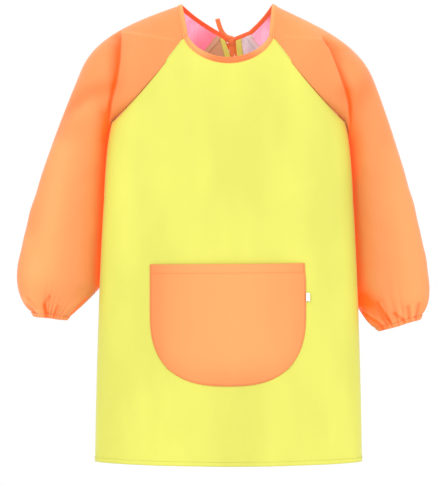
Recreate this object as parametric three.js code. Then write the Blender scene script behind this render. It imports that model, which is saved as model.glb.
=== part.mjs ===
// A child's long-sleeved art smock, upright as it is worn or hung: raglan sleeves with elastic
// cuffs, a patch pocket, a bound neck and an open back that two tapes close in a bow.
// Millimetres, +Z up. The front faces -Y and +X is the wearer's left.
// The origin is the middle of the neck opening, level with the back neckline.
import * as THREE from 'three';

// ---------------------------------------------------------------- driving dimensions

// Cloth and sewing
const clothThickness = 1.2;
const seamGap = 0.8; // left between two cloths that are sewn together
const armpitRelief = 3; // drawn in further where the sleeve turns sharply under the arm
const contactGap = 0.3; // left between faces that lie on each other

// Body
const bodyLength = 614; // back neckline to hem, at the side seams
const hemHalfWidth = 192;
const hemBow = 5; // the hem hangs this much lower in the middle
const armpitHalfWidth = 168;
const armpitDrop = 128; // back neckline to armpit
const armpitTuck = 8; // extra narrowing of the side just under the arm
const armpitTuckReach = 35;
const chestFrontDepth = 50;
const hemFrontDepth = 55;
const chestBackDepth = 48;
const hemBackDepth = 50;
const bodySquareness = 3; // exponent of the body's rounded section

// Neck
const neckSeamHalfWidth = 64; // where the raglan seams meet the neck binding
const frontNeckFlare = 3; // the scoop's curve runs this much wider than the seams
const frontNeckCentre = 8; // height of the scoop's centre
const frontNeckDrop = 49; // height of the scoop
const frontNeckSquareness = 2.1;
const neckFrontDepth = 45;
const neckSeamDepth = 24;
const neckBackDepth = 46;
const backNeckSeamLevel = -5;
const backNeckCentreLevel = -7;
const bindingWidth = 8.5;
const bindingThickness = 2.4;

// Back opening
const openingCentre = 4; // the tied edges sit a little to the wearer's left
const openingHalfGapNeck = 6.4;
const openingHalfGapHem = 14;
const foldBelowArmpit = 8; // where the free corner of each back panel starts to fold
const foldTopWidth = 12;
const foldHemHalfWidth = 130;

// Shoulders and seams: bulges are how far a seam or sleeve stands out between its ends
const frontSeamBulge = 26;
const backSeamBulge = 12;
const frontSleeveBulge = 15;
const backSleeveBulge = 8;
const frontSeamSag = 15; // how far the front seam's control point lies below its chord
const backSeamRun = [56, 70]; // from the neck to the back seam's control point, out and down
const crownSoftness = 2.5; // exponent that rounds the chest off towards the neck
const scoopGrowth = 1.5; // how late the rows take up the neckline's scoop
const armholeDepth = 34; // half depth of the sleeve at the armhole ring
const armholeCornerCut = 0.03; // share of the seam left free at the armpit

// Sleeves
const armClearance = 3; // between the hanging sleeve and the side of the body
const puffDepth = 31; // half depth where the sleeve is widest
const sleeveBow = 1.35; // how early the outer line swings outwards
const cuffHeight = 8;
const cuffDepth = 17;
const elasticThickness = 1;
const elasticMargin = 1;

// What differs between the two sides, because the smock doesn't hang quite evenly.
// neckRise is from the front seam's neck end to the top of the shoulder, cuffFromPuff from the
// widest ring's outer point to the cuff's, and cuffAcross from there to the cuff's inner point.
const wearersRight = {
  name: 'right',
  side: -1,
  neckRise: [9, 40],
  shoulderHandles: [[70, -24], [17, 49]],
  armholeReach: [46, 71],
  backNeckSeam: 18,
  spread: 91,
  puffDrop: 293,
  puffInnerDrop: 235,
  cuffFromPuff: [-24, -47],
  cuffAcross: [-49, -6],
};
const wearersLeft = {
  name: 'left',
  side: 1,
  neckRise: [5, 40],
  shoulderHandles: [[56, -28], [23, 59]],
  armholeReach: [42, 59],
  backNeckSeam: 33,
  spread: 79,
  puffDrop: 291,
  puffInnerDrop: 262,
  cuffFromPuff: [-13, -41],
  cuffAcross: [-61, -18],
};

// Pocket
const pocketHalfWidth = 113;
const pocketAboveHem = 106;
const pocketHeight = 177;
const pocketRoundHeight = 108;
const pocketSquareness = 2.6;
const pocketGape = 9; // how far the pocket's mouth stands off the front
const pocketSeat = 0.6;
const tabWidth = 5;
const tabHeight = 12;
const tabThickness = 0.8;
const tabDrop = 41; // below the pocket's top edge

// Ties
const tapeWidth = 7;
const tapeThickness = 1.6;
const knotRadius = 6;
const knotWidening = 1.05;
const knotFlatness = 0.85;
const knotSet = 2; // the knot's middle lies this far behind the neckline
const knotRise = 0.5;

// ---------------------------------------------------------------- small helpers

const mix = (a, b, t) => a + (b - a) * t;
const ease = (t) => t * t * (3 - 2 * t);
const hump = (t) => 4 * t * (1 - t);
const vector = (x, y, z) => new THREE.Vector3(x, y, z);
const steps = (count) => Array.from({ length: count + 1 }, (_, i) => i / count);

// A closed solid of even thickness around a grid of points. A ring closes each row on itself.
function sheetSolid(grid, thickness, ring = false) {
  const rows = grid.length;
  const columns = grid[0].length;
  const across = (j, i) => {
    const last = columns - 1;
    const before = ring ? (i + last) % columns : Math.max(i - 1, 0);
    const after = ring ? (i + 1) % columns : Math.min(i + 1, last);
    return grid[j][after].clone().sub(grid[j][before]);
  };
  const along = (j, i) => grid[Math.min(j + 1, rows - 1)][i].clone().sub(grid[Math.max(j - 1, 0)][i]);
  const positions = [];
  for (const side of [0.5, -0.5]) {
    for (let j = 0; j < rows; j++) {
      for (let i = 0; i < columns; i++) {
        const normal = across(j, i).cross(along(j, i)).normalize();
        const point = grid[j][i].clone().addScaledVector(normal, side * thickness);
        positions.push(point.x, point.y, point.z);
      }
    }
  }
  const back = rows * columns;
  const at = (j, i) => j * columns + (i % columns);
  const indices = [];
  const quad = (a, b, c, d) => indices.push(a, b, c, a, c, d);
  const spans = ring ? columns : columns - 1;
  for (let j = 0; j < rows - 1; j++) {
    for (let i = 0; i < spans; i++) {
      quad(at(j, i), at(j, i + 1), at(j + 1, i + 1), at(j + 1, i));
      quad(back + at(j, i), back + at(j + 1, i), back + at(j + 1, i + 1), back + at(j, i + 1));
    }
  }
  for (let i = 0; i < spans; i++) {
    const top = rows - 1;
    quad(at(0, i), back + at(0, i), back + at(0, i + 1), at(0, i + 1));
    quad(at(top, i), at(top, i + 1), back + at(top, i + 1), back + at(top, i));
  }
  for (let j = 0; j < rows - 1 && !ring; j++) {
    const end = columns - 1;
    quad(at(j, 0), at(j + 1, 0), back + at(j + 1, 0), back + at(j, 0));
    quad(at(j, end), back + at(j, end), back + at(j + 1, end), at(j + 1, end));
  }
  return facingOut(positions, indices);
}

// A geometry whose triangles are turned so that its volume is positive.
function facingOut(positions, indices) {
  const corner = (k) => vector(positions[3 * k], positions[3 * k + 1], positions[3 * k + 2]);
  let volume = 0;
  for (let k = 0; k < indices.length; k += 3) {
    const [a, b, c] = [corner(indices[k]), corner(indices[k + 1]), corner(indices[k + 2])];
    volume += a.dot(b.cross(c));
  }
  const turned = volume < 0 ? indices.slice().reverse() : indices;
  const geometry = new THREE.BufferGeometry();
  geometry.setAttribute('position', new THREE.Float32BufferAttribute(positions, 3));
  geometry.setIndex(turned);
  return geometry;
}

// Draws the edge rows and columns of a grid inwards along the cloth, to leave room for a seam.
// The side columns may be drawn in further towards the last row.
function inset(grid, { first = 0, last = 0, start = 0, end = 0, relief = 0 }) {
  const towards = (from, to, distance) => {
    const step = to.clone().sub(from);
    return from.clone().addScaledVector(step.normalize(), distance);
  };
  const out = grid.map((row) => row.map((p) => p.clone()));
  const top = grid.length - 1;
  const side = grid[0].length - 1;
  out[0] = grid[0].map((p, i) => towards(p, grid[1][i], first));
  out[top] = grid[top].map((p, i) => towards(p, grid[top - 1][i], last));
  out.forEach((row, j) => {
    const extra = relief * ease(j / top);
    row[0] = towards(row[0], row[1], start + extra);
    row[side] = towards(row[side], row[side - 1], end + extra);
  });
  return out;
}

// ---------------------------------------------------------------- the body's surfaces

const armpitLevel = -armpitDrop;
const bodyDrop = bodyLength - armpitDrop;
const sideTaper = (hemHalfWidth - armpitTuck - armpitHalfWidth) / bodyDrop;

// Half width of the body at a height under the armpits.
function bodyHalfWidth(z) {
  const tuck = armpitTuck * Math.exp((z - armpitLevel) / armpitTuckReach);
  return hemHalfWidth - sideTaper * (z + bodyLength) - tuck;
}

const bodyRound = (share) => (1 - Math.abs(share) ** bodySquareness) ** (1 / bodySquareness);
const frontDepth = (z) => mix(chestFrontDepth, hemFrontDepth, (armpitLevel - z) / bodyDrop);
const backDepth = (z) => mix(chestBackDepth, hemBackDepth, (armpitLevel - z) / bodyDrop);
const frontY = (x, z) => -frontDepth(z) * bodyRound(x / bodyHalfWidth(z));
const backY = (x, z) => backDepth(z) * bodyRound(x / bodyHalfWidth(z));
const hemLevel = (share) => -bodyLength - hemBow * (1 - share * share);

// Spaces columns so that they crowd where the section turns: 0 is the side seam.
const columnShare = (t) => Math.cos((t * Math.PI) / 2) ** (2 / bodySquareness);
const columnDepth = (t) => Math.sin((t * Math.PI) / 2) ** (2 / bodySquareness);

const frontNeckHalfWidth = neckSeamHalfWidth + frontNeckFlare;

// Height of the front neckline at a distance from the middle.
function frontNeckLevel(x) {
  const share = Math.min(Math.abs(x / frontNeckHalfWidth), 1);
  return frontNeckCentre - frontNeckDrop * (1 - share ** frontNeckSquareness) ** (1 / frontNeckSquareness);
}

// The raglan seams as flat curves, from the neck (0) to the armpit (1).
const curve2 = (points, t) => {
  const [a, b, c] = points;
  const at = (k) => (1 - t) ** 2 * a[k] + 2 * t * (1 - t) * b[k] + t * t * c[k];
  return [at(0), at(1)];
};

function frontSeam(w) {
  const neck = [neckSeamHalfWidth, frontNeckLevel(neckSeamHalfWidth)];
  const armpit = [armpitHalfWidth, armpitLevel];
  const middle = [(neck[0] + armpit[0]) / 2, (neck[1] + armpit[1]) / 2 - frontSeamSag];
  const [x, z] = curve2([neck, middle, armpit], w);
  return { x, z, depth: neckSeamDepth * (1 - w) + frontSeamBulge * hump(w) };
}

function backSeam(half, w) {
  const neck = [half.backNeckSeam, backNeckSeamLevel];
  const middle = [neck[0] + backSeamRun[0], neck[1] - backSeamRun[1]];
  const [x, z] = curve2([neck, middle, [armpitHalfWidth, armpitLevel]], w);
  return { x, z, depth: neckBackDepth * (1 - w) + backSeamBulge * hump(w) };
}

// Front panel: hem to armpits, then up along both raglan seams to the scooped neck.
function frontGrid(lowerRows, upperRows, columns) {
  const shares = steps(columns).map((t) => {
    const fromSide = 1 - Math.abs(1 - 2 * t);
    return { across: Math.sign(t - 0.5) * columnShare(fromSide), crown: columnDepth(fromSide) };
  });
  const lower = steps(lowerRows).map((v) => shares.map(({ across, crown }) => {
    const z = mix(hemLevel(across), armpitLevel, v);
    return vector(across * bodyHalfWidth(z), -frontDepth(z) * crown, z);
  }));
  const upper = steps(upperRows).slice(1).map((v) => shares.map(({ across, crown }) => {
    const seam = frontSeam(1 - v);
    const softCrown = mix(crown, 1 - Math.abs(across) ** crownSoftness, ease(v));
    const depth = mix(chestFrontDepth, neckFrontDepth, v);
    const scoop = frontSeam(0).z - frontNeckLevel(across * neckSeamHalfWidth);
    const z = seam.z - scoop * v ** scoopGrowth;
    return vector(across * seam.x, -mix(seam.depth, depth, softCrown), z);
  }));
  return [...lower, ...upper];
}

// The back opening's edge on one side, and the line along which the free corner folds.
const foldTopDrop = armpitDrop + foldBelowArmpit;
const openingHalfGap = (z) => mix(openingHalfGapNeck, openingHalfGapHem, -z / bodyLength);
const openingEdge = (side, z) => openingCentre + side * openingHalfGap(z);

function foldLine(side, z) {
  const down = (-foldTopDrop - z) / (bodyLength - foldTopDrop);
  const top = openingEdge(side, -foldTopDrop) + side * foldTopWidth;
  return mix(top, side * foldHemHalfWidth, down);
}

// A row of a back panel from one x to another, at a height that may fall towards the middle.
function backRow(from, to, level, columns) {
  return steps(columns).map((t) => {
    const x = to + (from - to) * columnShare(t);
    const z = level(x);
    const limit = Math.sign(x) * Math.min(Math.abs(x), bodyHalfWidth(z));
    return vector(limit, backY(limit, z), z);
  });
}

// Fixed part of a back panel: side seam, raglan seam, neck and the upper centre edge.
function backUpperGrid(half, lowerRows, upperRows, columns) {
  const { side } = half;
  const shelf = -foldTopDrop + seamGap / 2;
  const lower = steps(lowerRows).map((v) => {
    const level = (x) => mix(hemLevel(x / hemHalfWidth), -foldTopDrop, v);
    const z = level(side * hemHalfWidth);
    return backRow(side * bodyHalfWidth(z), foldLine(side, z), level, columns);
  });
  const ledge = backRow(side * bodyHalfWidth(shelf), openingEdge(side, shelf), () => shelf, columns);
  const upper = steps(upperRows).map((v) => steps(columns).map((t) => {
    const seam = backSeam(half, 1 - v);
    const centre = mix(armpitLevel, backNeckCentreLevel, v);
    const z = mix(seam.z, centre, 1 - columnShare(t));
    const edge = openingEdge(side, z);
    const x = edge + (side * seam.x - edge) * columnShare(t);
    const crown = mix(columnDepth(t), 1 - columnShare(t) ** crownSoftness, ease(v));
    const depth = mix(chestBackDepth, neckBackDepth, v);
    return vector(x, mix(seam.depth, depth, crown), z);
  }));
  return [...lower, ledge, ...upper];
}

// Free corner of a back panel, which hangs from the fold line.
function backFlapGrid(side, rows, columns) {
  return steps(rows).map((v) => steps(columns).map((t) => {
    const top = -foldTopDrop - seamGap / 2;
    const guess = mix(-bodyLength, top, v);
    const x = mix(foldLine(side, guess), openingEdge(side, guess), t);
    const z = mix(hemLevel(x / hemHalfWidth), top, v);
    return vector(x, backY(x, z), z);
  }));
}

// ---------------------------------------------------------------- the sleeves' surfaces

function armhole(half) {
  const inner = { x: armpitHalfWidth, z: armpitLevel };
  const outer = { x: inner.x + half.armholeReach[0], z: inner.z + half.armholeReach[1] };
  return { inner, outer };
}

// Shoulder line as a flat curve from the neck (0) to the top of the armhole (1).
function shoulderLine(half, w) {
  const { outer } = armhole(half);
  const [rise, [start, end]] = [half.neckRise, half.shoulderHandles];
  const neck = new THREE.Vector2(neckSeamHalfWidth + rise[0], rise[1]);
  const path = new THREE.CubicBezierCurve(
    neck,
    new THREE.Vector2(neck.x + start[0], neck.y + start[1]),
    new THREE.Vector2(outer.x - end[0], outer.z + end[1]),
    new THREE.Vector2(outer.x, outer.z),
  );
  return path.getPoint(w);
}

// Upper part of a sleeve, between its raglan seams. Columns run from the front seam (-1)
// over the shoulder line (0) to the back seam (1).
function shoulderPoint(half, w, k) {
  const front = k < 0;
  const seam = front ? frontSeam(w) : backSeam(half, w);
  const neckDepth = front ? neckSeamDepth : neckBackDepth;
  const bulge = front ? frontSleeveBulge : backSleeveBulge;
  const depth = mix(neckDepth, armholeDepth, w) + bulge * hump(w);
  const lastAngle = Math.PI - Math.asin(Math.min(seam.depth / depth, 1));
  const angle = Math.abs(k) * lastAngle;
  const share = (1 - Math.cos(angle)) / (1 - Math.cos(lastAngle));
  const top = shoulderLine(half, w);
  const x = half.side * mix(top.x, seam.x, share);
  return vector(x, (front ? -1 : 1) * depth * Math.sin(angle), mix(top.y, seam.z, share));
}

function shoulderGrid(half, rows, columns) {
  return steps(rows).map((w) => steps(columns).map((t) => {
    const k = 2 * t - 1;
    const cut = w === 1 ? armholeCornerCut * Math.abs(k) : 0;
    return shoulderPoint(half, w - cut, k);
  }));
}

// One ring of a sleeve: an ellipse between its outer and its inner point.
function ringRow(side, outer, inner, depth, columns) {
  return steps(columns).slice(0, -1).map((t) => {
    const angle = 2 * Math.PI * t;
    const share = (1 - Math.cos(angle)) / 2;
    return vector(side * mix(outer.x, inner.x, share), -depth * Math.sin(angle), mix(outer.z, inner.z, share));
  });
}

// The sleeve's outline on the outside and the inside of the arm, from armhole (0) to puff (1).
function armOutline(half, t) {
  const { inner, outer } = armhole(half);
  const swing = 1 - (1 - t) ** sleeveBow;
  const innerLevel = inner.z - t * half.puffInnerDrop;
  return {
    outer: { x: outer.x + half.spread * swing, z: outer.z - t * half.puffDrop },
    inner: { x: bodyHalfWidth(Math.min(innerLevel, armpitLevel)) + armClearance, z: innerLevel },
  };
}

// The cuff's outer and inner points at a distance below the gathered edge, and the way across.
function cuffRing(half, drop = 0) {
  const puff = armOutline(half, 1);
  const [acrossX, acrossZ] = half.cuffAcross;
  const length = Math.hypot(acrossX, acrossZ);
  const along = { x: -acrossX / length, z: -acrossZ / length };
  const outer = {
    x: puff.outer.x + half.cuffFromPuff[0] + along.z * drop,
    z: puff.outer.z + half.cuffFromPuff[1] - along.x * drop,
  };
  return { outer, inner: { x: outer.x + acrossX, z: outer.z + acrossZ }, along };
}

// Hanging part of a sleeve: a tube that widens to a puff and is gathered into the cuff.
function armGrid(half, rows, gatherRows, columns) {
  const tube = steps(rows).map((t) => {
    const { outer, inner } = armOutline(half, t);
    return ringRow(half.side, outer, inner, mix(armholeDepth, puffDepth, t), columns);
  });
  const puff = armOutline(half, 1);
  const cuff = cuffRing(half);
  const middle = (a, b) => ({ x: (a.x + b.x) / 2, z: (a.z + b.z) / 2 });
  const [puffMiddle, cuffMiddle] = [middle(puff.outer, puff.inner), middle(cuff.outer, cuff.inner)];
  const gather = steps(gatherRows).slice(1).map((g) => {
    const [drop, shrink] = [Math.sin((g * Math.PI) / 2), Math.cos((g * Math.PI) / 2)];
    const point = (from, to) => ({
      x: mix(puffMiddle.x, cuffMiddle.x, drop) + mix(to.x - cuffMiddle.x, from.x - puffMiddle.x, shrink),
      z: mix(puffMiddle.z, cuffMiddle.z, drop) + mix(to.z - cuffMiddle.z, from.z - puffMiddle.z, shrink),
    });
    const [outer, inner] = [point(puff.outer, cuff.outer), point(puff.inner, cuff.inner)];
    return ringRow(half.side, outer, inner, mix(cuffDepth, puffDepth, shrink), columns);
  });
  return [...tube, ...gather];
}

// A band around the cuff, from one distance below the gathered edge to another.
function cuffBand(half, from, to, shrink, columns) {
  return [from, to].map((drop) => {
    const { outer, inner, along } = cuffRing(half, drop);
    const small = (p, sign) => ({ x: p.x - sign * along.x * shrink, z: p.z - sign * along.z * shrink });
    return ringRow(half.side, small(outer, 1), small(inner, -1), cuffDepth - shrink, columns);
  });
}

// ---------------------------------------------------------------- neck binding

// The binding carries on from the cloth all round the neck. Each grid gives its neck edge.
function bindingGrid(edges) {
  const stations = [];
  for (const { edge, inside } of edges) {
    edge.forEach((point, i) => {
      const way = point.clone().sub(inside[i]).normalize();
      const before = stations[stations.length - 1];
      if (before && before.point.distanceTo(point) < seamGap) {
        before.way.add(way).normalize();
      } else {
        stations.push({ point, way });
      }
    });
  }
  const at = (distance) => stations.map(({ point, way }) => point.clone().addScaledVector(way, distance));
  return [at(seamGap / 2), at(seamGap / 2 + bindingWidth)];
}

// ---------------------------------------------------------------- pocket

const pocketBottom = -bodyLength + pocketAboveHem;
const pocketTop = pocketBottom + pocketHeight;
const pocketCentre = pocketBottom + pocketRoundHeight;
const sidePart = 0.35; // share of the pocket's side that bends round the lower corner

// A point of the pocket's rounded outline at an angle below the horizontal.
function pocketRim(angle) {
  const power = 2 / pocketSquareness;
  const [c, s] = [Math.cos(angle), Math.sin(angle)];
  const x = Math.sign(c) * pocketHalfWidth * Math.abs(c) ** power;
  return [x, pocketCentre - pocketRoundHeight * Math.abs(s) ** power];
}

// Maps the unit square onto the pocket: u across, v from the rounded bottom to the mouth.
function pocketFlat(u, v) {
  const sideAt = (share) => (share < sidePart
    ? pocketRim((Math.PI / 4) * (1 - share / sidePart))
    : [pocketHalfWidth, mix(pocketCentre, pocketTop, (share - sidePart) / (1 - sidePart))]);
  const [sideX, sideZ] = sideAt(v);
  const [bottomX, bottomZ] = pocketRim((3 * Math.PI) / 4 - (u * Math.PI) / 2);
  const [cornerX, cornerZ] = pocketRim(Math.PI / 4);
  const across = 2 * u - 1;
  const x = mix(bottomX, pocketHalfWidth * across, v) + across * (sideX - mix(cornerX, pocketHalfWidth, v));
  const z = mix(bottomZ, pocketTop, v) + sideZ - mix(cornerZ, pocketTop, v);
  return [x, z];
}

const seatOffset = clothThickness + pocketSeat;

function pocketGrid(rows, columns) {
  return steps(rows).map((v) => steps(columns).map((u) => {
    const [x, z] = pocketFlat(u, v);
    const gape = pocketGape * Math.sqrt(hump(u)) * Math.sqrt(v);
    return vector(x, frontY(x, z) - seatOffset - gape, z);
  }));
}

function tabGrid() {
  const start = pocketHalfWidth + clothThickness;
  return steps(2).map((v) => steps(1).map((u) => {
    const x = start + tabWidth * u;
    const z = pocketTop - tabDrop - tabHeight * v;
    return vector(x, frontY(x, z) - seatOffset, z);
  }));
}

// ---------------------------------------------------------------- ties

// The tapes' routes: each loop and tail leaves the knot and hangs on the outside of the back.
const tieRoutes = {
  tie_loop_right: [
    [-0.6, 53.2, -10.3], [-1.8, 55.8, -20], [-6, 57.6, -33], [-13, 57.8, -46], [-21, 57.6, -51],
    [-26, 57.4, -45], [-22, 57.2, -33], [-14, 56.8, -21], [-7, 54.8, -12], [-3.2, 53.2, -7.2],
  ],
  tie_loop_left: [
    [8.6, 53.2, -10.3], [10, 55.8, -21], [15, 57.6, -36], [23, 57.8, -53], [33, 57.6, -61],
    [39, 57.4, -54], [35, 57.2, -40], [24, 56.8, -24], [15.6, 54.8, -12.5], [11.2, 53.2, -7.2],
  ],
  tie_tail_right: [
    [4.2, 50.5, -12.6], [4.8, 50.9, -24], [7.5, 51.1, -42], [9.5, 51.2, -62], [8.5, 51.2, -84], [10.5, 51.2, -104],
  ],
  tie_tail_left: [[-0.4, 50, -1.6], [-5.5, 50.2, 1.5], [-9.5, 49.2, 6.5], [-12.8, 47.6, 14], [-16.2, 46, 25]],
};
const knotCentre = [openingCentre, neckBackDepth + knotSet, backNeckCentreLevel + knotRise];

// A flat tape along a route: an eight-sided section with softened edges.
function tapeSolid(points) {
  const path = new THREE.CatmullRomCurve3(points.map(([x, y, z]) => vector(x, y, z)));
  const [w, t] = [tapeWidth / 2, tapeThickness / 2];
  const section = new THREE.Shape([
    new THREE.Vector2(-t, -w + t), new THREE.Vector2(-t / 2, -w), new THREE.Vector2(t / 2, -w),
    new THREE.Vector2(t, -w + t), new THREE.Vector2(t, w - t), new THREE.Vector2(t / 2, w),
    new THREE.Vector2(-t / 2, w), new THREE.Vector2(-t, w - t),
  ]);
  const geometry = new THREE.ExtrudeGeometry(section, {
    steps: Math.ceil(path.getLength() / tapeWidth) + 2,
    extrudePath: path,
    bevelEnabled: false,
  });
  return geometry;
}

// ---------------------------------------------------------------- the assembly

const smock = new THREE.Group();
smock.name = 'artist_smock_apron';

const cloth = (color, roughness = 0.62) => () => new THREE.MeshStandardMaterial({ color, roughness, metalness: 0 });
const yellowCloth = cloth(0xf4f275);
const orangeCloth = cloth(0xffa765);
const bindingCloth = cloth(0xff8a50, 0.7);
const whiteElastic = cloth(0xf0ece2, 0.85);
const tabCloth = cloth(0xfafafa, 0.7);

function add(name, geometry, material) {
  const mesh = new THREE.Mesh(geometry, material());
  mesh.name = name;
  smock.add(mesh);
}

// How finely each surface is divided
const frontRows = 7;
const frontColumns = 18;
const seamRows = 7;
const backLowerRows = 5;
const backColumns = 8;
const flapRows = 6;
const flapColumns = 5;
const shoulderColumns = 14;
const armRows = 8;
const gatherRows = 4;
const armColumns = 16;
const pocketRows = 7;
const pocketColumns = 10;
const knotColumns = 12;
const knotRows = 8;

const halfGap = seamGap / 2;
const front = frontGrid(frontRows, seamRows, frontColumns);
const frontEdges = { last: halfGap, start: halfGap, end: halfGap };
add('front_panel', sheetSolid(inset(front, frontEdges), clothThickness), yellowCloth);
add('pocket_panel', sheetSolid(pocketGrid(pocketRows, pocketColumns), clothThickness), orangeCloth);
add('pocket_tab', sheetSolid(tabGrid(), tabThickness), tabCloth);

const neckEdges = [];
for (const half of [wearersRight, wearersLeft]) {
  const { name, side } = half;
  const shoulder = shoulderGrid(half, seamRows, shoulderColumns);
  const allEdges = { first: halfGap, last: halfGap, start: halfGap, end: halfGap, relief: armpitRelief };
  add(`shoulder_${name}`, sheetSolid(inset(shoulder, allEdges), clothThickness), orangeCloth);

  const backUpper = backUpperGrid(half, backLowerRows, seamRows, backColumns);
  const upperEdges = { last: halfGap, start: halfGap, end: halfGap };
  add(`back_panel_${name}`, sheetSolid(inset(backUpper, upperEdges), clothThickness), yellowCloth);
  const flap = inset(backFlapGrid(side, flapRows, flapColumns), { last: halfGap, start: halfGap });
  add(`back_flap_${name}`, sheetSolid(flap, clothThickness), yellowCloth);

  const arm = inset(armGrid(half, armRows, gatherRows, armColumns), { first: halfGap });
  add(`sleeve_${name}`, sheetSolid(arm, clothThickness, true), orangeCloth);
  const casingTop = clothThickness / 2 + contactGap;
  const casing = cuffBand(half, casingTop, casingTop + cuffHeight, 0, armColumns);
  add(`cuff_casing_${name}`, sheetSolid(casing, clothThickness, true), orangeCloth);
  const shrink = clothThickness / 2 + contactGap + elasticThickness / 2;
  const elasticTop = casingTop + elasticMargin;
  const elastic = cuffBand(half, elasticTop, elasticTop + cuffHeight - 2 * elasticMargin, shrink, armColumns);
  add(`cuff_elastic_${name}`, sheetSolid(elastic, elasticThickness, true), whiteElastic);

  const top = backUpper.length - 1;
  const backEdge = { edge: [...backUpper[top]].reverse(), inside: [...backUpper[top - 1]].reverse() };
  const shoulderEdge = { edge: [...shoulder[0]].reverse(), inside: [...shoulder[1]].reverse() };
  neckEdges.push([backEdge, shoulderEdge]);
}

const reversed = ({ edge, inside }) => ({ edge: [...edge].reverse(), inside: [...inside].reverse() });
const frontTop = front.length - 1;
const [rightEdges, leftEdges] = neckEdges;
const binding = bindingGrid([
  ...rightEdges,
  { edge: front[frontTop], inside: front[frontTop - 1] },
  ...leftEdges.map(reversed).reverse(),
]);
add('neck_binding', sheetSolid(binding, bindingThickness), bindingCloth);

const knot = new THREE.SphereGeometry(knotRadius, knotColumns, knotRows);
knot.scale(knotWidening, knotFlatness, 1);
knot.translate(...knotCentre);
add('tie_knot', knot, bindingCloth);
for (const [name, points] of Object.entries(tieRoutes)) {
  add(name, tapeSolid(points), bindingCloth);
}

export default smock;
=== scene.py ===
"""The looks of a child's art smock: yellow body, orange raglan sleeves gathered on elastic, a patch
pocket, a bound neck and two tapes tied in a bow behind. Shapes are worked out in millimetres and
written to the meshes in metres. The wearer's left is +X and the front faces -Y."""

import math

import bpy
import numpy as np
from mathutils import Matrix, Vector


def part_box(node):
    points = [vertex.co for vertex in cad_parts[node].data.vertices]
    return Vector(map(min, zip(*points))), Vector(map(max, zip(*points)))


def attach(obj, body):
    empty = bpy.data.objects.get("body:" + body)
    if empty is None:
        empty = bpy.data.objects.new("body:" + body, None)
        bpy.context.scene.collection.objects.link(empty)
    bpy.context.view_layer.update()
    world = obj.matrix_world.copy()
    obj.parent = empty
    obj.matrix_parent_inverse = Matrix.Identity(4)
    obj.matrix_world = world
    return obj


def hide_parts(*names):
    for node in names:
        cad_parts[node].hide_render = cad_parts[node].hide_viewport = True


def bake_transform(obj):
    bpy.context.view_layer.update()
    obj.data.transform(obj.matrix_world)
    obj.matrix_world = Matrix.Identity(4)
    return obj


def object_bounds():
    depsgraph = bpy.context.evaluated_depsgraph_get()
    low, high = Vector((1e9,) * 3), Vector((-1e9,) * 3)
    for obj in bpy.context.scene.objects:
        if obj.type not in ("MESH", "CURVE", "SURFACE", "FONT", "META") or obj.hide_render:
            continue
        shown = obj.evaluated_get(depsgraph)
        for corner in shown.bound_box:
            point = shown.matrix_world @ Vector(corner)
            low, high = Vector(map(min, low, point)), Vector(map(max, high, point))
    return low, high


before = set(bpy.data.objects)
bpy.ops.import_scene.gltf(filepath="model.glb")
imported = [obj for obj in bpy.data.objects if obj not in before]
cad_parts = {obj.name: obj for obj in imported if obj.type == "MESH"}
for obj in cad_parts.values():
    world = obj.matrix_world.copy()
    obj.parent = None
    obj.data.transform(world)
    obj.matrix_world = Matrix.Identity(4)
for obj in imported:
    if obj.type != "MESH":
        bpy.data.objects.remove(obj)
CAD_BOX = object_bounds()
MM = 0.001

# ---------------------------------------------------------------- camera, floor and light


def corner_mm(node):
    """Lowest and highest corner of a CAD node, in millimetres."""
    low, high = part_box(node)
    return np.array(low) / MM, np.array(high) / MM


def make_camera():
    """A long lens level with the middle of the smock, square on to its front."""
    low, high = CAD_BOX
    aside, below = 0.0063, 0.0133
    aim = Vector(((low.x + high.x) / 2 - aside, 0.0, (low.z + high.z) / 2 - below))
    distance, seen_height = 4.6, 0.6984
    data = bpy.data.cameras.new("camera")
    data.sensor_width = 36.0
    data.lens = data.sensor_width * distance / seen_height
    data.clip_end = 60.0
    camera = bpy.data.objects.new("camera", data)
    camera.location = aim + Vector((0, -distance, 0))
    camera.rotation_euler = (math.pi / 2, 0, 0)
    bpy.context.scene.collection.objects.link(camera)
    bpy.context.scene.camera = camera


def area_light(name, place, aim, size, power):
    """A square soft box at a place, turned to face its aim."""
    data = bpy.data.lights.new(name, "AREA")
    data.size, data.energy = size, power
    lamp = bpy.data.objects.new(name, data)
    lamp.location = place
    lamp.rotation_euler = (Vector(aim) - Vector(place)).to_track_quat("-Z", "Y").to_euler()
    bpy.context.scene.collection.objects.link(lamp)


def make_studio():
    """Even white light all round, with soft boxes in front and above."""
    world = bpy.data.worlds.new("studio")
    world.use_nodes = True
    world.node_tree.nodes["Background"].inputs["Color"].default_value = (1, 1, 1, 1)
    world.node_tree.nodes["Background"].inputs["Strength"].default_value = 1.0
    bpy.context.scene.world = world
    bpy.context.scene.view_settings.view_transform = "Standard"
    area_light("key", (-1.6, -2.6, 1.5), (0, 0, -0.3), 1.6, 26)
    area_light("fill", (2.0, -2.4, 0.4), (0, 0, -0.3), 1.8, 14)
    area_light("top", (0.2, 0.6, 2.2), (0, 0, -0.2), 1.6, 16)


make_camera()
make_studio()

# ---------------------------------------------------------------- small helpers


def mix(a, b, t):
    """a where t is 0 and b where it is 1, along a straight line."""
    return a + (b - a) * t


def ease(t):
    """0 to 1 with level ends."""
    t = np.clip(t, 0, 1)
    return t * t * (3 - 2 * t)


def hump(t):
    """A parabola: 0 at both ends and 1 half way."""
    return 4 * t * (1 - t)


def unit(v):
    """Vectors divided by their own lengths."""
    return v / np.maximum(np.linalg.norm(v, axis=-1, keepdims=True), 1e-9)


def stack(x, y, z):
    """Points from their three coordinates, each spread to the common shape."""
    return np.stack(np.broadcast_arrays(x, y, z), axis=-1).astype(float)


def normals_of(p):
    """Unit normals of a grid of points, from the steps along its rows and columns."""
    return unit(np.cross(np.gradient(p, axis=1), np.gradient(p, axis=0)))


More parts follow.
